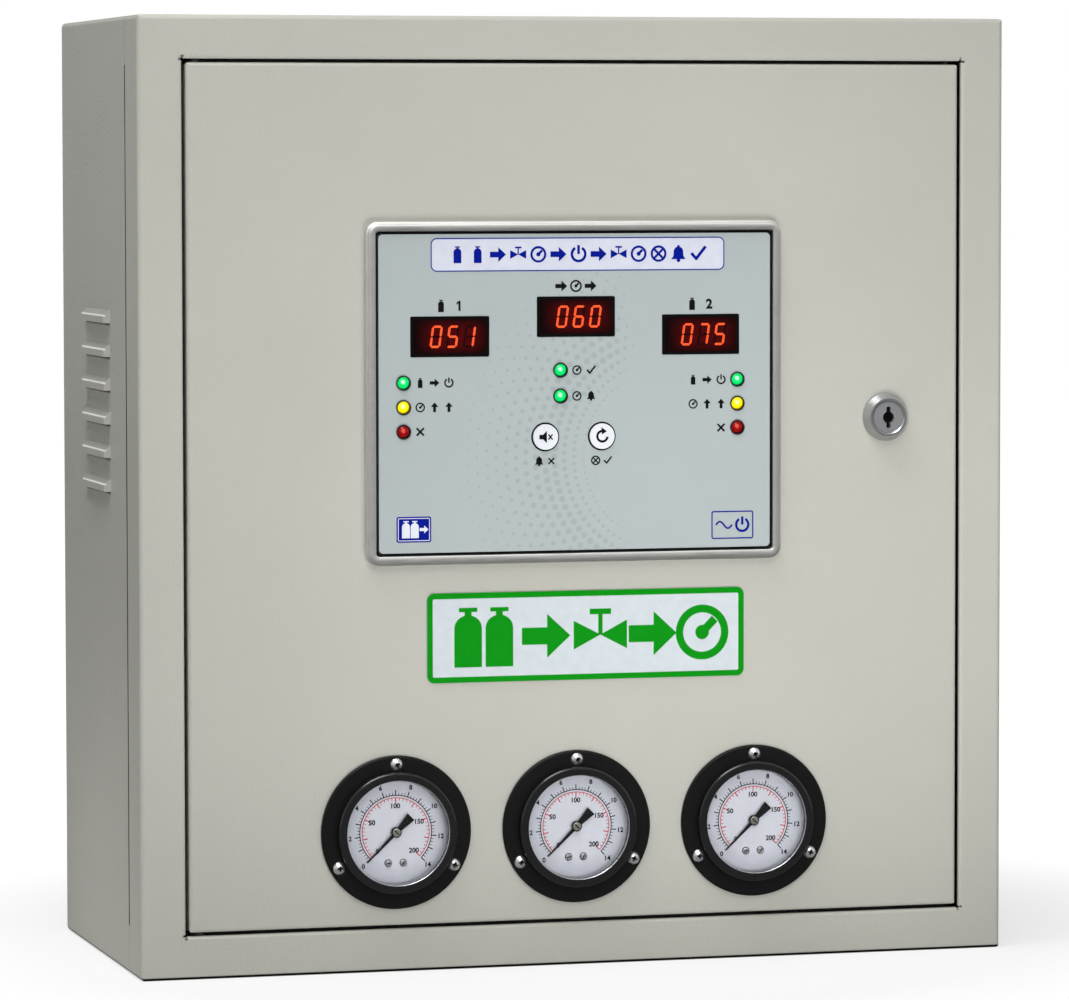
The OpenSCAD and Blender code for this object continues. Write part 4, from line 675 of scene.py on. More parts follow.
def display_filter():
    """Dark red filter with the glow of the figures behind it."""
    pane = Finish("display_filter_red", (16, 5, 6), 0.16)
    pane.set("Specular IOR Level", 0.06)
    right, _, up = pane.axes(pane.place["Object"])
    glow = 0.0
    for x, y, _ in DISPLAYS:
        spot = pane.times(pane.span(pane.gap(right, UNIT.x + x + DIGIT_SHIFT), 0.010, 0.021, 1, 0),
                          pane.span(pane.gap(up, UNIT.y + y), 0.004, 0.0105, 1, 0))
        glow = pane.maths("ADD", glow, spot)
    glow = pane.times(glow, pane.spread(pane.noise(260), 0.75, 1.1))
    pane.set("Emission Color", pane.mix(glow, BLACK, (74, 2, 4)))
    pane.set("Emission Strength", 1.0)
    pane.roughen(pane.noise(900), 0.12, 0.22)
    return pane.material


def lit_segment():
    """Lit bar of a figure: hot orange with a little unevenness."""
    lit = Finish("lit_segment", (120, 20, 8), 0.4)
    lit.set("Emission Color", lit.ramp(lit.noise(900), (0.25, (255, 66, 20)),
                                       (0.75, (255, 112, 46))))
    lit.set("Emission Strength", 1.0)
    return lit.material


def lamp_lens(name, rim, main, painted_highlight, glow):
    """Domed lamp lens that glows, darker towards its rim, with a small pale spot up and to the left that is a
    painted highlight.
    """
    lens = Finish(name, main, 0.16)
    lens.set("Specular IOR Level", 0.2)
    # A painted highlight where the lens faces up, left and forward; the glow darkens away from it towards the
    # rim.
    facing = lens.node("VectorMath", ((0, lens.place["Normal"]), (1, (-0.16, -0.965, 0.2))),
                       operation="DOT_PRODUCT").outputs["Value"]
    colour = lens.ramp(facing, (0.5, rim), (0.7, main), (0.93, main), (0.995, painted_highlight))
    lens.set("Base Color", lens.mix(0.6, colour, BLACK))
    lens.set("Emission Color", colour)
    lens.set("Emission Strength", glow)
    lens.roughen(lens.noise(700), 0.1, 0.2)
    return lens.material


def dial_card():
    """Dial of a gauge: white enamel, with painted shade making it a little darker towards its edge, under the
    rim.
    """
    card = Finish("dial_enamel", (224, 226, 236), 0.38)
    # Painted shade: darker towards the dial's edge.
    edge = card.span(card.gauge_distance(), 0.018, 0.030, 0, 1)
    tone = card.maths("ADD", card.times(edge, 0.8), card.times(card.noise(90, 3), 0.2))
    card.set("Base Color", card.mix(tone, (228, 230, 240), (198, 202, 212)))
    card.roughen(card.noise(1200), 0.32, 0.44)
    return card.material


def gauge_enamel():
    """Black enamel of a gauge: satin on the flange, polished on the raised rim."""
    enamel = Finish("black_gauge_enamel", (18, 18, 19), 0.4)
    rim = enamel.span(enamel.gauge_distance(), RIM_RADIUS, RIM_RADIUS + 0.0004, 1, 0)
    grain = enamel.noise(1500, 3)
    enamel.cloud(30, 0.85, 1.15)
    polish = enamel.span(rim, 0, 1, 0.4, 0.1)
    enamel.set("Roughness", enamel.maths("ADD", polish, enamel.spread(grain, 0, 0.08)))
    enamel.set("Specular IOR Level", enamel.span(rim, 0, 1, 0.14, 0.5))
    enamel.bump(grain, 0.12, 0.00004)
    return enamel.material


def lens_glass():
    """Clear flat lens of a gauge, with a breath of dust."""
    glass = Finish("gauge_lens_glass", (60, 64, 68), 0.04)
    glass.set("Alpha", glass.span(glass.noise(300, 4), 0.3, 0.8, 0.02, 0.045))
    glass.roughen(glass.noise(60, 3), 0.03, 0.07)
    return glass.material


def circuit_board():
    """Solder mask over a grid of tracks."""
    board = Finish("solder_mask", (26, 84, 52), 0.34)
    tracks = board.node("TexBrick", (("Vector", board.place["Object"]), ("Scale", 60.0),
                                     ("Color1", screen(22, 74, 46)), ("Color2", screen(34, 100, 62)),
                                     ("Mortar", screen(52, 124, 78)), ("Mortar Size", 0.03)))
    board.set("Base Color", tracks.outputs["Color"])
    board.bump(tracks.outputs["Fac"], 0.2, 0.00004)
    return board.material


black_ink, blue_ink, white_ink, lavender_ink, green_ink, red_ink = (
    print_ink(f"{name}_ink", colour)
    for name, colour in (("black", (14, 14, 16)), ("blue", (0, 22, 140)), ("white", (226, 228, 238)),
                         ("lavender", (212, 215, 228)), ("green", (0, 142, 12)), ("red", (206, 24, 36))))
lit_red = lit_segment()
unlit_red = moulded("unlit_segment", (34, 4, 5), 0.5, gloss=0.05)
window_black = moulded("window_black", (9, 9, 10), 0.4, 1500, 0.00003, 0.08)
filter_red = display_filter()
chrome = metal("bright_chrome", (226, 227, 230), 0.3)
pale_brass = metal("pale_brass", (202, 201, 188), 0.34)
# Near-black painted shade for screw slots, sockets and recesses, and for the keyway.
painted_recess_shade = moulded("painted_recess_shade", (10, 10, 11), 0.6, gloss=0.06)
tag_white = moulded("tag_white", (222, 222, 216), 0.5)

slot_finishes = {
    "cabinet_paint": powder_coat("pebble_grey_powder_coat", (190, 189, 180)),
    "zinc_steel": galvanised("zinc_plate"),
    "bright_steel": chrome,
    "brass": cast_brass(),
    "copper": copper_tube(),
    "rubber": moulded("black_rubber", (34, 34, 35), 0.72, 1200, 0.0002),
    "nylon": moulded("dark_nylon", (44, 44, 46), 0.5),
    "black_plastic": moulded("black_plastic", (32, 32, 34), 0.42),
    "grey_plastic": moulded("grey_plastic", (150, 153, 155), 0.46),
    "bezel_aluminium": metal("satin_aluminium", (214, 213, 210), 0.52, (0.05, 1, 1)),
    "front_plate": overlay_film(),
    "display_filter": filter_red,
    "lamp_green": lamp_lens("green_lamp", (0, 70, 34), (0, 226, 108), (200, 255, 228), 0.75),
    "lamp_yellow": lamp_lens("yellow_lamp", (110, 84, 0), (255, 234, 0), (255, 252, 180), 0.75),
    "lamp_red": lamp_lens("red_lamp", (34, 0, 2), (158, 0, 6), (250, 90, 76), 0.45),
    "button_white": moulded("white_key_cap", (226, 229, 234), 0.44),
    "board_green": circuit_board(),
    "label_film": print_ink("label_film_white", (206, 214, 219), 0.36),
    "gauge_black": gauge_enamel(),
    "lens_glass": lens_glass(),
    "dial_white": dial_card(),
}
node_finishes = {
    "lock_barrel": turned_metal("satin_chrome", (190, 191, 194), 0.27, LOCK.x, LOCK.y),
    "lock_plug": turned_metal("plug_steel", (205, 206, 208), 0.42, LOCK.x, LOCK.y),
}

for name, node in frame["nodes"].items():
    for slot in node.material_slots:
        slot.material = node_finishes.get(name, slot_finishes[slot.material.name.split(".")[0]])


# Display unit

def bezel_frame():
    """Aluminium frame: a wall, a rounded step, a face and a lip down to the front plate."""
    piece = flat("panel_bezel_frame", rounded_box(*BEZEL, steps=10))
    extrude(BEZEL_STEP - 0.0006)
    for thickness, depth in ((0.0001, 0.0003), (0.0002, 0.0002), (0.0003, 0.0001),
                             (STEP_WIDTH - 0.0006, 0.0002), (0.0004, BEZEL_TOP - BEZEL_STEP - 0.0006),
                             (0.0003, 0.0003), (0.0003, 0.0001),
                             (0.0026, 0.0), (0.0003, -0.0002), (0.0002, -0.0005),
                             (0.00001, PLATE_Z - BEZEL_TOP - 0.0012)):
        bpy.ops.mesh.inset(thickness=thickness, depth=depth)
    bpy.ops.mesh.delete(type="FACE")
    close(piece, 40)
    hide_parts("panel_bezel")
    lay(piece, UNIT.x, UNIT.y, 0, slot_finishes["bezel_aluminium"], "bezel_aluminium")


def display_window():
    """Black window block with a bevelled edge."""
    piece = flat("display_window", rounded_box(*DISPLAY, steps=4))
    extrude(WINDOW_Z - WINDOW_BACK - 0.0001)
    bpy.ops.mesh.inset(thickness=0.0003, depth=0.0001)
    return close(piece)


def window_filter():
    """Red filter let into a window's face."""
    width, height, radius = DISPLAY
    outline = rounded_box(width - 2 * WINDOW_RIM, height - 2 * WINDOW_RIM, radius, steps=4)
    return film("window_filter", outline)


def digit_bar(length):
    """One bar of a figure, pointed at both ends."""
    half, tip = length / 2, DIGIT_STROKE / 2
    return film("digit_bar", [(half, 0), (half - tip, tip), (tip - half, tip), (-half, 0),
                              (tip - half, -tip), (half - tip, -tip)])


def digit_bars():
    """The seven bars of a figure by letter, from the top one clockwise, with the middle one last."""
    side, half = (DIGIT_WIDTH - DIGIT_STROKE) / 2, (DIGIT_HEIGHT - DIGIT_STROKE) / 4
    level = digit_bar(2 * side - 0.0002)
    upright = digit_bar(2 * half - 0.0002)
    places = {"a": (0, 2 * half, level, 0), "b": (side, half, upright, 1), "c": (side, -half, upright, 1),
              "d": (0, -2 * half, level, 0), "e": (-side, -half, upright, 1), "f": (-side, half, upright, 1),
              "g": (0, 0, level, 0)}
    bars = {letter: shift(copy_of(source, "bar_" + letter), x, y, 0, turn * math.pi / 2)
            for letter, (x, y, source, turn) in places.items()}
    remove(level, upright)
    return bars


LIT = {"0": "abcdef", "1": "bc", "5": "acdfg", "6": "acdefg", "7": "abc"}


def display_figures():
    """Lit and unlit bars of the three displays, slanted as one."""
    bars = digit_bars()
    lit, unlit = [], []
    for bar_piece in bars.values():
        for corner in bar_piece.data.vertices:
            corner.co.x += corner.co.y * math.tan(DIGIT_SLANT)
    for x, y, words in DISPLAYS:
        for place, letter in enumerate(words):
            right = UNIT.x + x + DIGIT_SHIFT + (place - 1) * DIGIT_PITCH
            for name, bar_piece in bars.items():
                copy = shift(copy_of(bar_piece, "bar"), right, UNIT.y + y, WINDOW_Z + INK)
                (lit if name in LIT[letter] else unlit).append(copy)
    remove(*bars.values())
    stand(join("display_digits_lit", *lit), "door", lit_red)
    stand(join("display_digits_unlit", *unlit), "door", unlit_red)


def display_unit():
    """Frame, windows, figures and black line of the unit, and painted shade in the gap round its plate."""
    bezel_frame()
    middles = [(UNIT.x + x, UNIT.y + y) for x, y, _ in DISPLAYS]
    windows = repeat("display_window_set", display_window(), [(x, y, WINDOW_BACK) for x, y in middles])
    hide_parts("display_windows")
    stand(windows, "door", window_black)
    filters = repeat("display_filter_set", window_filter(), [(x, y, WINDOW_Z) for x, y in middles])
    stand(filters, "door", filter_red)
    display_figures()
    width, height, radius = PLATE
    line = line_frame("plate_edge_line", rounded_box(width, height, radius, 8), BLACK_LINE / 2)
    lay(line, UNIT.x, UNIT.y, PLATE_Z, black_ink)
    # A black ring in the gap round the front plate, painted shade of the gap.
    edge = rounded_box(width + 0.0014, height + 0.0014, 0.0012, 3)
    lay(line_frame("plate_gap_shade", edge, 0.0007, 0.0016), UNIT.x, UNIT.y, WINDOW_BACK, black_ink, "rubber")


display_unit()


# Signs: each is drawn round the origin, one unit high and thick, and sized where it is printed

def shape(*points):
    """A filled shape of a sign."""
    return film("sign", points)


def dome(width, height, low, steps):
    """Half an ellipse over a level, from right to left."""
    angles = [math.pi * i / steps for i in range(steps + 1)]
    return [(width * math.cos(angle), low + height * math.sin(angle)) for angle in angles]


def cross(reach, width):
    return [bar((-reach, -side * reach), (reach, side * reach), width) for side in (1, -1)]


def wave():
    points = [(0.5 * (i / 8 - 1), 0.2 * math.sin(math.pi * i / 8)) for i in range(17)]
    return [bar(points[i], points[i + 1], 0.1) for i in range(16)]


SIGNS = {
    "power": lambda: [arc(0.34, 0.5, math.radians(120), math.radians(300)), bar((0, 0), (0, 0.54), 0.16)],
    "gauge": lambda: [ring(0, 0, 0.5, 0.14), bar((-0.05, -0.05), (0.24, 0.24), 0.15), disc(0, 0, 0.13)],
    "cross": lambda: cross(0.38, 0.2),
    "tick": lambda: [bar((-0.44, 0.02), (-0.1, -0.36), 0.18), bar((-0.17, -0.36), (0.46, 0.42), 0.18)],
    "up": lambda: [shape((0, 0.5), (-0.4, 0.04), (-0.15, 0.04), (-0.15, -0.5), (0.15, -0.5), (0.15, 0.04),
                         (0.4, 0.04))],
    "bell": lambda: [shape(*dome(0.3, 0.3, 0.12, 12), (-0.32, -0.16), (-0.46, -0.34), (0.46, -0.34),
                           (0.32, -0.16)), disc(0, -0.4, 0.12), disc(0, 0.44, 0.08)],
    "lamp": lambda: [ring(0, 0, 0.5, 0.14), *cross(0.28, 0.14)],
    "one": lambda: [shape((0.2, 0.5), (0.02, 0.5), (-0.2, 0.3), (-0.2, 0.1), (-0.01, 0.24), (-0.01, -0.5),
                          (0.2, -0.5))],
    "cylinder": lambda: [shape(*dome(0.24, 0.22, 0.16, 10), (-0.24, -0.5), (0.24, -0.5)),
                         bar((0, 0.36), (0, 0.5), 0.12), bar((-0.16, 0.47), (0.16, 0.47), 0.07)],
    "arrow": lambda: [shape((0.5, 0), (0.02, 0.44), (0.02, 0.17), (-0.5, 0.17), (-0.5, -0.17), (0.02, -0.17),
                            (0.02, -0.44))],
    "valve": lambda: [shape((0, 0), (-0.5, 0.26), (-0.5, -0.26)), shape((0, 0), (0.5, -0.26), (0.5, 0.26)),
                      bar((0, 0), (0, 0.42), 0.08), bar((-0.2, 0.42), (0.2, 0.42), 0.1)],
    "wave": wave,
    "speaker": lambda: [shape((-0.5, 0.17), (-0.5, -0.17), (-0.22, -0.17), (0.08, -0.46), (0.08, 0.46),
                              (-0.22, 0.17)),
                        bar((0.2, -0.2), (0.52, 0.2), 0.1), bar((0.2, 0.2), (0.52, -0.2), 0.1)],
    "again": lambda: [arc(0.32, 0.5, math.radians(96), math.radians(258)),
                      shape((0.36, 0.38), (-0.08, 0.7), (-0.04, 0.14))],
}


def sign(kind):
    """A sign of strokes that may cross, each a little thicker than the one before."""
    strokes = SIGNS[kind]()
    for place, stroke in enumerate(strokes):
        for corner in stroke.data.vertices:
            corner.co.z *= (1 + 0.06 * place) / INK
    return join("sign", *strokes)


def printed(name, signs, finish, middle, body="door"):
    """Signs given as (kind, x, y, height) from a point of the front view, printed together."""
    placed = []
    for kind, x, y, height in signs:
        piece = sign(kind)
        for corner in piece.data.vertices:
            corner.co = (middle[0] + x + corner.co.x * height, middle[1] + y + corner.co.y * height,
                         middle[2] + corner.co.z * INK)
        placed.append(piece)
    stand(join(name, *placed), body, finish)


def panel_signs():
    """Figures over the displays and pictograms beside the lamps and below the keys."""
    small, tall, number, pitch = 0.0054, 0.0068, 0.0056, 0.0082
    side_y, middle_y = 0.0485, 0.059
    signs = [("cylinder", -0.0775, side_y, tall), ("one", -0.0675, side_y, number),
             ("cylinder", 0.0675, side_y, tall), ("arrow", -0.0085, middle_y, tall),
             ("gauge", 0, middle_y, tall), ("arrow", 0.0085, middle_y, tall)]
    captions = (("cylinder", "arrow", "power"), ("gauge", "up", "up"), ("cross",))
    for row, caption in enumerate(captions):
        y = 0.006 - row * 0.0135
        for place, kind in enumerate(caption):
            signs.append((kind, -0.0895 + place * pitch, y, small))
            signs.append((kind, 0.0845 - (len(caption) - 1 - place) * pitch, y, small))
    for y, caption in ((0.0122, ("gauge", "tick")), (-0.0022, ("gauge", "bell"))):
        signs += [(kind, 0.0005 + place * pitch, y, small) for place, kind in enumerate(caption)]
    for key, left, right, share in (("mute", "bell", "cross", 0.8), ("test", "lamp", "tick", 0.9)):
        x, y, _ = BUTTONS[key] - UNIT
        signs += [(left, x - 0.0035, y - 0.0135, small), (right, x + 0.0035, y - 0.0135, small * share)]
    printed("panel_signs", signs, black_ink, (UNIT.x, UNIT.y, PLATE_Z))
    two = figures("2", number, UNIT.x + 0.0775, UNIT.y + side_y, 0.00022)
    two.name = "second_line_figure"
    lay(two, 0, 0, PLATE_Z, black_ink)


def banner():
    """Outlined banner with the two lines that meet in one outlet."""
    x, y, z, pitch, height = UNIT.x + 0.0015, BANNER_Y, PLATE_Z, 0.0116, 0.0092
    lay(film("banner_field", rounded_box(*BANNER)), x, y, z, lavender_ink)
    lay(line_frame("banner_outline", rounded_box(*BANNER), 0.0006), x, y, z + INK, blue_ink)
    row = ("cylinder", "cylinder", "arrow", "valve", "gauge", "arrow", "power", "arrow", "valve", "gauge",
           "lamp", "bell", "tick")
    signs = [(kind, (place - len(row) // 2) * pitch, 0, height) for place, kind in enumerate(row)]
    printed("banner_signs", signs, blue_ink, (x, y, z + INK))


def badges():
    """Blue badge with a cylinder, and an outlined badge with a mains wave."""
    x, y, z = -0.0963, 0.24645, PLATE_Z
    lay(film("left_badge", rounded_box(0.0198, 0.0143, 0.0012)), x, y, z, blue_ink)
    white = [("cylinder", -0.0045, 0, 0.0095), ("cylinder", 0.0005, 0, 0.0095), ("arrow", 0.0058, 0, 0.005)]
    printed("left_badge_sign", white, white_ink, (x, y, z + INK))
    lay(line_frame("left_badge_line", rounded_box(0.0182, 0.0127, 0.0008), 0.0004), x, y, z + INK, white_ink)
    x, y = 0.0882, 0.24575
    lay(line_frame("right_badge_line", rounded_box(0.0246, 0.0157, 0.0012), 0.0007), x, y, z, blue_ink)
    blue = (("wave", -0.005, 0, 0.0095), ("power", 0.0058, 0, 0.0085))
    printed("right_badge_sign", blue, blue_ink, (x, y, z))


def keys():
    """Black rings round the two keys, and the sign on each cap."""
    for name, kind, size in (("mute", "speaker", 0.0074), ("test", "again", 0.0072)):
        place = BUTTONS[name]
        black = ring(place.x, place.y, 0.0081, 0.00105)
        black.name = f"{name}_key_ring"
        lay(black, 0, 0, PLATE_Z, black_ink)
        printed(f"{name}_key_sign", [(kind, 0, 0, size)], black_ink, place, f"{name}_key")


def label():
    """Green border and bold green pictograms on the label plate: cylinders, flow, valve and gauge."""
    lay(line_frame("label_border", rounded_box(*LABEL_SIZE), LABEL_BORDER), *LABEL, green_ink)
    signs = (("cylinder", -0.0685, 0, 0.033), ("cylinder", -0.0505, 0, 0.033), ("arrow", -0.0235, 0, 0.028),
             ("valve", 0.008, 0, 0.031), ("arrow", 0.0385, 0, 0.028), ("gauge", 0.0675, 0, 0.031))
    printed("label_signs", signs, green_ink, LABEL)


panel_signs()
banner()
badges()
keys()
label()


# Gauges

def scale_angle(share):
    """Angle of a share of the scale, which runs clockwise from the lower left."""
    return ZERO_ANGLE - SWEEP * share


def dial_figure(value, full, height, radius):
    """A figure of a scale that ends at a full value."""
    return figures(str(value), height, *polar(radius, scale_angle(value / full)), 0.00009)


def dial_prints():
    """Black and red scale of one dial, round the origin."""
    end = scale_angle(1)
    black = [arc(0.0203, 0.0208, end, SWEEP, 72), ticks(0.0207, 0.0221, 0.00034, end, 56),
             ticks(0.0207, 0.0235, 0.00058, end, 14, 1.2 * INK)]
    black += [dial_figure(value, 14, 0.0028, 0.0262) for value in range(0, 15, 2)]
    black += [dial_figure(value, 200, 0.0029, 0.0147) for value in range(0, 201, 50)]
    # A dark ring round each dial screw, painted shade of the hole it sits in.
    black += [ring(side * DIAL_SCREW_X, DIAL_SCREW_Y, DIAL_SCREW_RADIUS + 0.0004, 0.0004) for side in (-1, 1)]
    red = [arc(0.0190, 0.0194, end, SWEEP, 72), ticks(0.0177, 0.0191, 0.00034, end, 40),
           ticks(0.0163, 0.0191, 0.00055, end, 8, 1.2 * INK)]
    return ("black", join("scale", *black), black_ink), ("red", join("scale", *red), red_ink)


def lens_ring():
    """Bright ring that holds a lens, round the origin."""
    piece = line_frame("lens_ring", round_outline(LENS_RADIUS, 96), LENS_RING_WIDTH, 0.0006)
    edit(piece)
    select_where(piece, "EDGE", lambda edge: all(corner.co.z > 0.0005 for corner in edge.verts))
    bpy.ops.mesh.bevel(offset=0.0003, segments=3)
    return close(piece, 50)


def screw_head(radius, height):
    """Cheese head with a rounded edge, round the origin."""
    piece = flat("head", round_outline(radius, 24))
    extrude(height * 0.8)
    bpy.ops.mesh.inset(thickness=radius * 0.06, depth=height * 0.14)
    bpy.ops.mesh.inset(thickness=radius * 0.1, depth=height * 0.06)
    return close(piece, 50)


def slotted_screw(radius, height):
    """Screw head, and a strip on it that stands for its slot, in painted shade."""
    slot = bar((-radius * 0.8, 0), (radius * 0.8, 0), radius * 0.28, height * 0.06)
    return screw_head(radius, height), shift(slot, z=height)


def socket_screw(radius, height):
    """Screw head, and a hexagon on it that stands for its socket, in painted shade."""
    socket = film("socket", round_outline(radius * 0.56, 6), height * 0.02)
    return screw_head(radius, height), shift(socket, z=height)


def screw_set(name, screw, places, finish=chrome, body="cabinet", seat=FRONT):
    """Copies of a screw at places (x, y, z, turn): the heads as one piece, the painted shade of each recess
    as another.
    """
    head, recess = screw
    stand(repeat(f"{name}_heads", head, places), body, finish, seat)
    stand(repeat(f"{name}_recesses", recess, places), body, painted_recess_shade, seat)


def gauges():
    """Prints, screws and pointer caps of the three gauges."""
    for colour, print_piece, finish in dial_prints():
        for i, gauge in enumerate(GAUGES, 1):
            lay(copy_of(print_piece, f"dial_{i}_{colour}_print"), gauge.x, gauge.y, DIAL_Z, finish)
        remove(print_piece)
    recess_shades = []
    for i, gauge in enumerate(GAUGES, 1):
        places = [(gauge.x + side * DIAL_SCREW_X, gauge.y + DIAL_SCREW_Y, DIAL_Z, math.radians(turn))
                  for side, turn in ((-1, 15), (1, 55))]
        screw_set(f"dial_{i}_screw", slotted_screw(DIAL_SCREW_RADIUS, 0.0011), places, body="door")
        holder = lens_ring()
        holder.name = f"lens_{i}_ring"
        lay(holder, gauge.x, gauge.y, LENS_Z, chrome, "bright_steel")
        cap = [(gauge.x, gauge.y, POINTER_Z, math.radians(-45))]
        pointer = f"pointer_{i}"
        screw_set(f"{pointer}_cap", slotted_screw(0.00225, 0.0007), cap, pale_brass, pointer)
        # A dark cross on each flange screw, painted shade of its cross recess.
        for angle in (90, 210, 330):
            turn = math.radians(angle)
            x, y = polar(0.0378, turn)
            recess = join("recess", bar((-0.0016, 0), (0.0016, 0), 0.0007, 0.00036),
                          bar((0, -0.0016), (0, 0.0016), 0.0007, 0.00034))
            recess_shades.append(shift(recess, gauge.x + x, gauge.y + y, SCREW_Z - 0.0003, turn * 1.3))
    stand(join("gauge_screw_recesses", *recess_shades), "door", painted_recess_shade)


gauges()


# Lock

def keyhole(grow):
    """Outline of the keyway: a slot through a round middle."""
    half, reach, radius = (size / 2 + grow for size in KEY_SLOT)
    corner = math.acos(half / radius)
    right = [polar(radius, corner * i / 6) for i in range(-6, 7)]
    return ([(half, -reach)] + right + [(half, reach), (-half, reach)] + [(-x, -y) for x, y in right]
            + [(-half, -reach)])


def lock():
    """Bright rim round the keyway, and a dark plate inside it that is painted shade of the keyway."""
    rim = line_frame("key_hole_rim", keyhole(0.0006), 0.0006, 0.0002)
    lay(rim, LOCK.x, LOCK.y, PLUG_Z, chrome, "bright_steel", "lock")
    # A dark plate 3 mm down in the keyway, painted shade of it.
    shade_plate = film("key_hole_shutter", keyhole(-0.0001), 0.0005)
    lay(shade_plate, LOCK.x, LOCK.y, PLUG_Z - 0.003, painted_recess_shade, None, "lock")


lock()


# Fittings inside the cabinet

def thread(radius, depth, pitch, length):
    """Rings of a thread along z: a circle drawn out in steps of half a pitch, in and out by the depth."""
    piece = start("thread", bpy.ops.mesh.primitive_circle_add, vertices=32, radius=radius)
    edit(piece)
    crest = (radius + depth) / radius
    for step in range(2 * round(length / pitch)):
        extrude(pitch / 2)
        size = 1 / crest if step % 2 else crest
        bpy.ops.transform.resize(value=(size, size, 1))
    return close(piece, 20)


def supply_terminals():
    """Terminal strip in the power supply's end, with walls between its screws."""
    x, y, z = SUPPLY.x - 0.067, SUPPLY.y, SUPPLY.z - 0.02
    cells, pitch = 7, 0.008
    base = flat("strip", rounded_box(0.0136, 0.0584, 0.001, 3))
    extrude(0.008)
    bpy.ops.mesh.inset(thickness=0.0006, depth=0.0005)
    close(base, 40)
    wall = film("wall", rounded_box(0.0132, 0.0012, 0.0003, 2), 0.0125)
    walls = repeat("walls", wall, [(0, (place - cells / 2) * pitch) for place in range(cells + 1)])
    strip = join("supply_terminal_strip", base, walls)
    lay(strip, x, y, z, slot_finishes["black_plastic"], "black_plastic", "cabinet")
    places = [(x, y + (cell - 3) * pitch, z + 0.0085, 0.4 * cell) for cell in range(cells)]
    screw_set("supply_terminal", slotted_screw(0.0027, 0.0016), places)


def terminal_details():
    """Clamp screws of the terminal blocks, and a numbered tag on each."""
    count, pitch, tag_rise = 14, 0.0064, 0.0005
    x, y, z = TERMINALS
    columns = [x + (i - (count - 1) / 2) * pitch for i in range(count)]
    places = [(column, y + side * 0.0142, z - 0.0088, 0.3 * i)
              for i, column in enumerate(columns) for side in (-1, 1)]
    screw_set("terminal_screw", slotted_screw(0.0022, 0.0012), places)
    tag = film("tag", rounded_box(0.0052, 0.0088, 0.0006, 3), tag_rise)
    stand(repeat("terminal_tags", tag, [(column, y, z) for column in columns]), "cabinet", tag_white)
    numbers = [figures(str(i), 0.0028, column, y, 0.0001) for i, column in enumerate(columns, 1)]
    lay(join("terminal_numbers", *numbers), 0, 0, z + tag_rise, black_ink, None, "cabinet")


def inner_screws():
    """Screws of the regulators, the coil plugs, the junction block, the pipe clamps and the gland plate."""
    circle = [polar(0.0268, math.radians(angle)) for angle in range(30, 390, 60)]
    bonnet = [(middle.x + x, middle.y + y, middle.z + 0.007, 0.2) for middle in REGULATORS for x, y in circle]
    screw_set("bonnet_screw", socket_screw(0.0021, 0.0022), bonnet)
    plugs = [(middle.x, middle.y - 0.03, middle.z - 0.013, 0.6) for middle in VALVES]
    screw_set("coil_plug_screw", slotted_screw(0.0026, 0.0014), plugs)
    corners = [(JUNCTION.x + sx * 0.0235, JUNCTION.y + sy * 0.0165, JUNCTION.z, 0.1)
               for sx in (-1, 1) for sy in (-1, 1)]
    screw_set("junction_screw", socket_screw(0.0042, 0.0042), corners)
    clamp_z = -0.1416
    clamps = [(middle.x, y, clamp_z, 0.5) for middle in REGULATORS for y in (0.087, 0.2055)]
    clamps += [(0, y, clamp_z, 0.9) for y in (0.087, 0.262)]
    screw_set("clamp_screw", socket_screw(0.0032, 0.0036), clamps)
    low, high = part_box("gland_plate")
    rows = (low[1] + 0.005, high[1] - 0.005)
    gland = [(x * 0.109, y, high[2], 0.7 * x) for x in range(-2, 3) for y in rows]
    screw_set("gland_screw", slotted_screw(0.0036, 0.002), gland, slot_finishes["zinc_steel"],
              seat=UPRIGHT)


def inner_threads():
    """Threads in the three ports, and on the back connections of the gauges."""
    ports = repeat("port_threads", thread(PORT_RADIUS - 0.0006, 0.0006, 0.0015, PORT_LENGTH),
                   [(x, LINES_Y, PORT_LOW) for x in (REGULATORS[0].x, 0, REGULATORS[1].x)])
    stand(ports, "cabinet", slot_finishes["brass"], UPRIGHT)
    stems = repeat("stem_threads", thread(STEM_RADIUS, 0.0004, 0.0012, STEM_LENGTH),
                   [(gauge.x, gauge.y, STEM_BACK) for gauge in GAUGES])
    stand(stems, "door", slot_finishes["brass"])


def knob_marks():
    """A turning arrow on each knob."""
    for i, knob in enumerate(KNOBS, 1):
        printed(f"knob_{i}_mark", [("again", 0, 0, 0.0125)], tag_white, knob, f"knob_{i}")


supply_terminals()
terminal_details()
inner_screws()
inner_threads()
knob_marks()


# Stage: lights as name, place, aim, size and power

LIGHTS = (("key_light", (-0.4, -2.2, 2.4), (0, 0, 0.27), 1.5, 33.5),
          ("top_light", (-0.8, -0.5, 2.7), (0, 0, 0.27), 1.2, 48),
          ("front_bounce", (0.1, -0.56, 0.02), (0.1, -0.4, 1), 0.4, 3.6),
          ("side_bounce", (-0.43, 0, 0.04), (-0.25, 0, 0.02), 0.1, 0.05))
CAMERA_PLACE = (-0.85683, -3.12952, 0.45147)
CAMERA_YAW, CAMERA_PITCH, CAMERA_ROLL = (math.radians(angle) for angle in (-15.386, 3.473, -0.0763))
CAMERA_LENS = 189.69
AIR = 0.05
SIDE_WALLS, END_WALLS = 0.95, 0.44
FLOOR_SEEN, FLOOR_DULL, FLOOR_MIRRORED = 0.21, 0.8, 0.3
FLOOR_GLOW = (0.28, 0.6, 0.74, 1.0)
FOOT_EDGE = 0.004


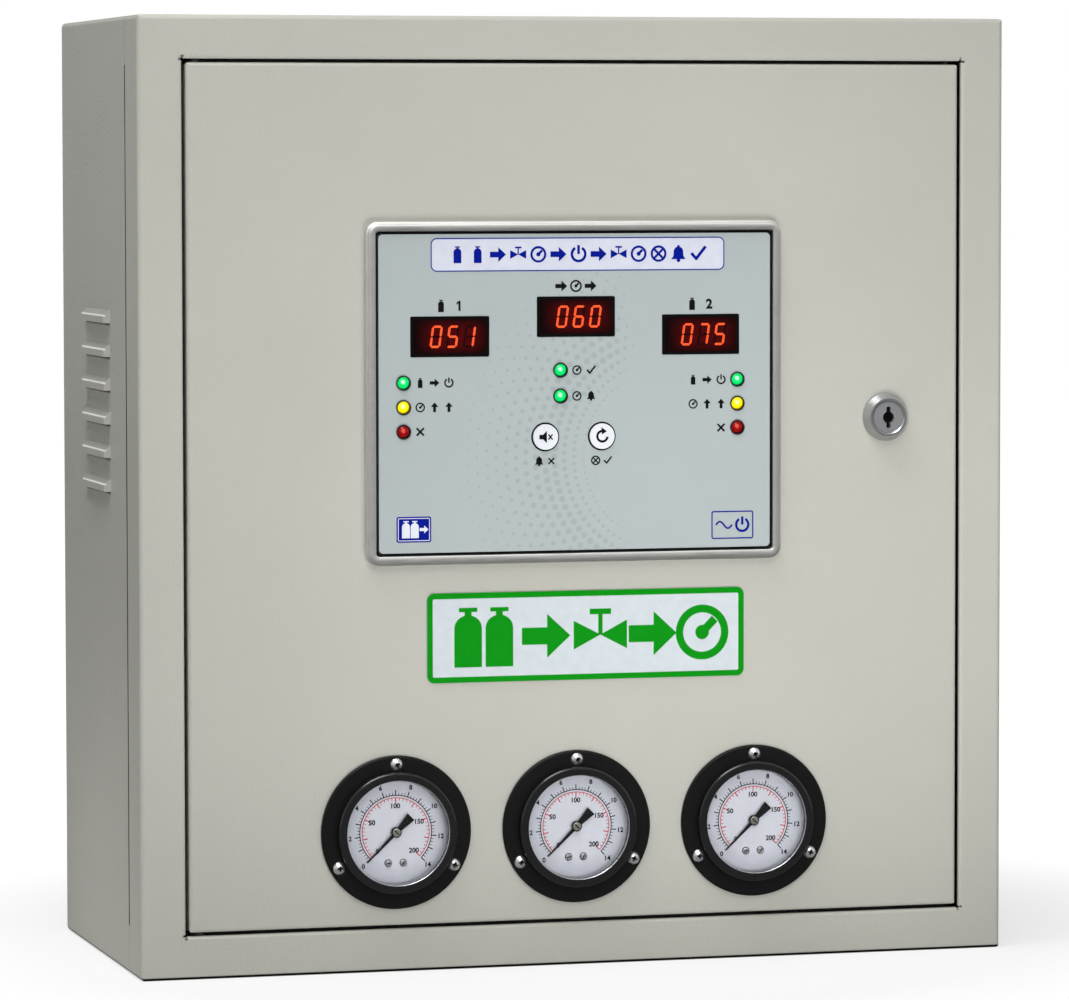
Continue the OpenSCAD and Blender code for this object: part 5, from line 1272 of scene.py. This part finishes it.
def air():
    """White background; mirrors see walls darker before and behind, and dull surfaces a dim studio."""
    world = bpy.data.worlds.new("studio_air")
    bpy.context.scene.world = world
    sky = Nodes(world)
    path = sky.node("LightPath").outputs
    depth = sky.size(sky.axes(sky.node("TexCoord").outputs["Generated"])[1])
    strengths = (("Is Glossy Ray", sky.span(depth, 0, 1, SIDE_WALLS, END_WALLS)),
                 ("Is Transmission Ray", 1.0), ("Is Camera Ray", 1.0))
    strength = AIR
    for kind, seen in strengths:
        strength = sky.node("Mix", ((0, path[kind]), (2, strength), (3, seen))).outputs[0]
    background = sky.tree.nodes["Background"].inputs
    sky.feed(background["Color"], WHITE)
    sky.feed(background["Strength"], strength)


def camera():
    """Camera at the photograph's view."""
    level = math.cos(CAMERA_PITCH)
    back = Vector((math.sin(CAMERA_YAW) * level, -math.cos(CAMERA_YAW) * level, math.sin(CAMERA_PITCH)))
    right = Vector((math.cos(CAMERA_YAW), math.sin(CAMERA_YAW), 0))
    up = back.cross(right)
    side = right * math.cos(CAMERA_ROLL) + up * math.sin(CAMERA_ROLL)
    top = up * math.cos(CAMERA_ROLL) - right * math.sin(CAMERA_ROLL)
    eye = bpy.data.objects.new("photo_camera", bpy.data.cameras.new("photo_camera"))
    bpy.context.scene.collection.objects.link(eye)
    eye.data.sensor_width = 36
    eye.data.sensor_fit = "HORIZONTAL"
    eye.data.lens = CAMERA_LENS
    eye.matrix_world = Matrix.Translation(CAMERA_PLACE) @ Matrix((side, top, back)).transposed().to_4x4()
    bpy.context.scene.camera = eye


def lights():
    """Soft lights; those that stand for light off the floor are seen by dull surfaces alone."""
    for name, place, aim, size, power in LIGHTS:
        light = bpy.data.objects.new(name, bpy.data.lights.new(name, "AREA"))
        bpy.context.scene.collection.objects.link(light)
        light.data.size = size
        light.data.energy = power
        light.visible_camera = light.visible_glossy = not name.endswith("bounce")
        course = Vector(aim) - Vector(place)
        light.matrix_world = Matrix.Translation(place) @ course.to_track_quat("-Z", "Y").to_matrix().to_4x4()


def studio_floor():
    """White floor that glows away from the cabinet, so that it meets the background unseen."""
    floor = start("studio_floor", bpy.ops.mesh.primitive_plane_add, size=16)
    ground = Finish("floor_white", (255, 255, 255), 0.8)
    x, y, _ = ground.axes(ground.place["Object"])
    path = ground.node("LightPath").outputs
    seen, dull, mirrored = ((grey, grey, grey, 1) for grey in (FLOOR_SEEN, FLOOR_DULL, FLOOR_MIRRORED))
    grey = ground.mix(path["Is Camera Ray"], dull, seen)
    ground.set("Base Color", ground.mix(path["Is Glossy Ray"], grey, mirrored))
    ground.set("Specular IOR Level", 0.0)
    ground.set("Emission Color", WHITE)
    beside, before = (ground.span(ground.size(way), half - FOOT_EDGE, half, 0, 1)
                      for way, half in ((x, FRAME_BOX[1][0]), (y, cad_box[1][1])))
    glow = ground.times(ground.span(ground.length(x, y), *FLOOR_GLOW), path["Is Camera Ray"])
    ground.set("Emission Strength", ground.times(glow, ground.maths("MAXIMUM", beside, before)))
    floor.data.materials.append(ground.material)


camera()
lights()
air()
studio_floor()
bpy.context.scene.view_settings.view_transform = "Standard"
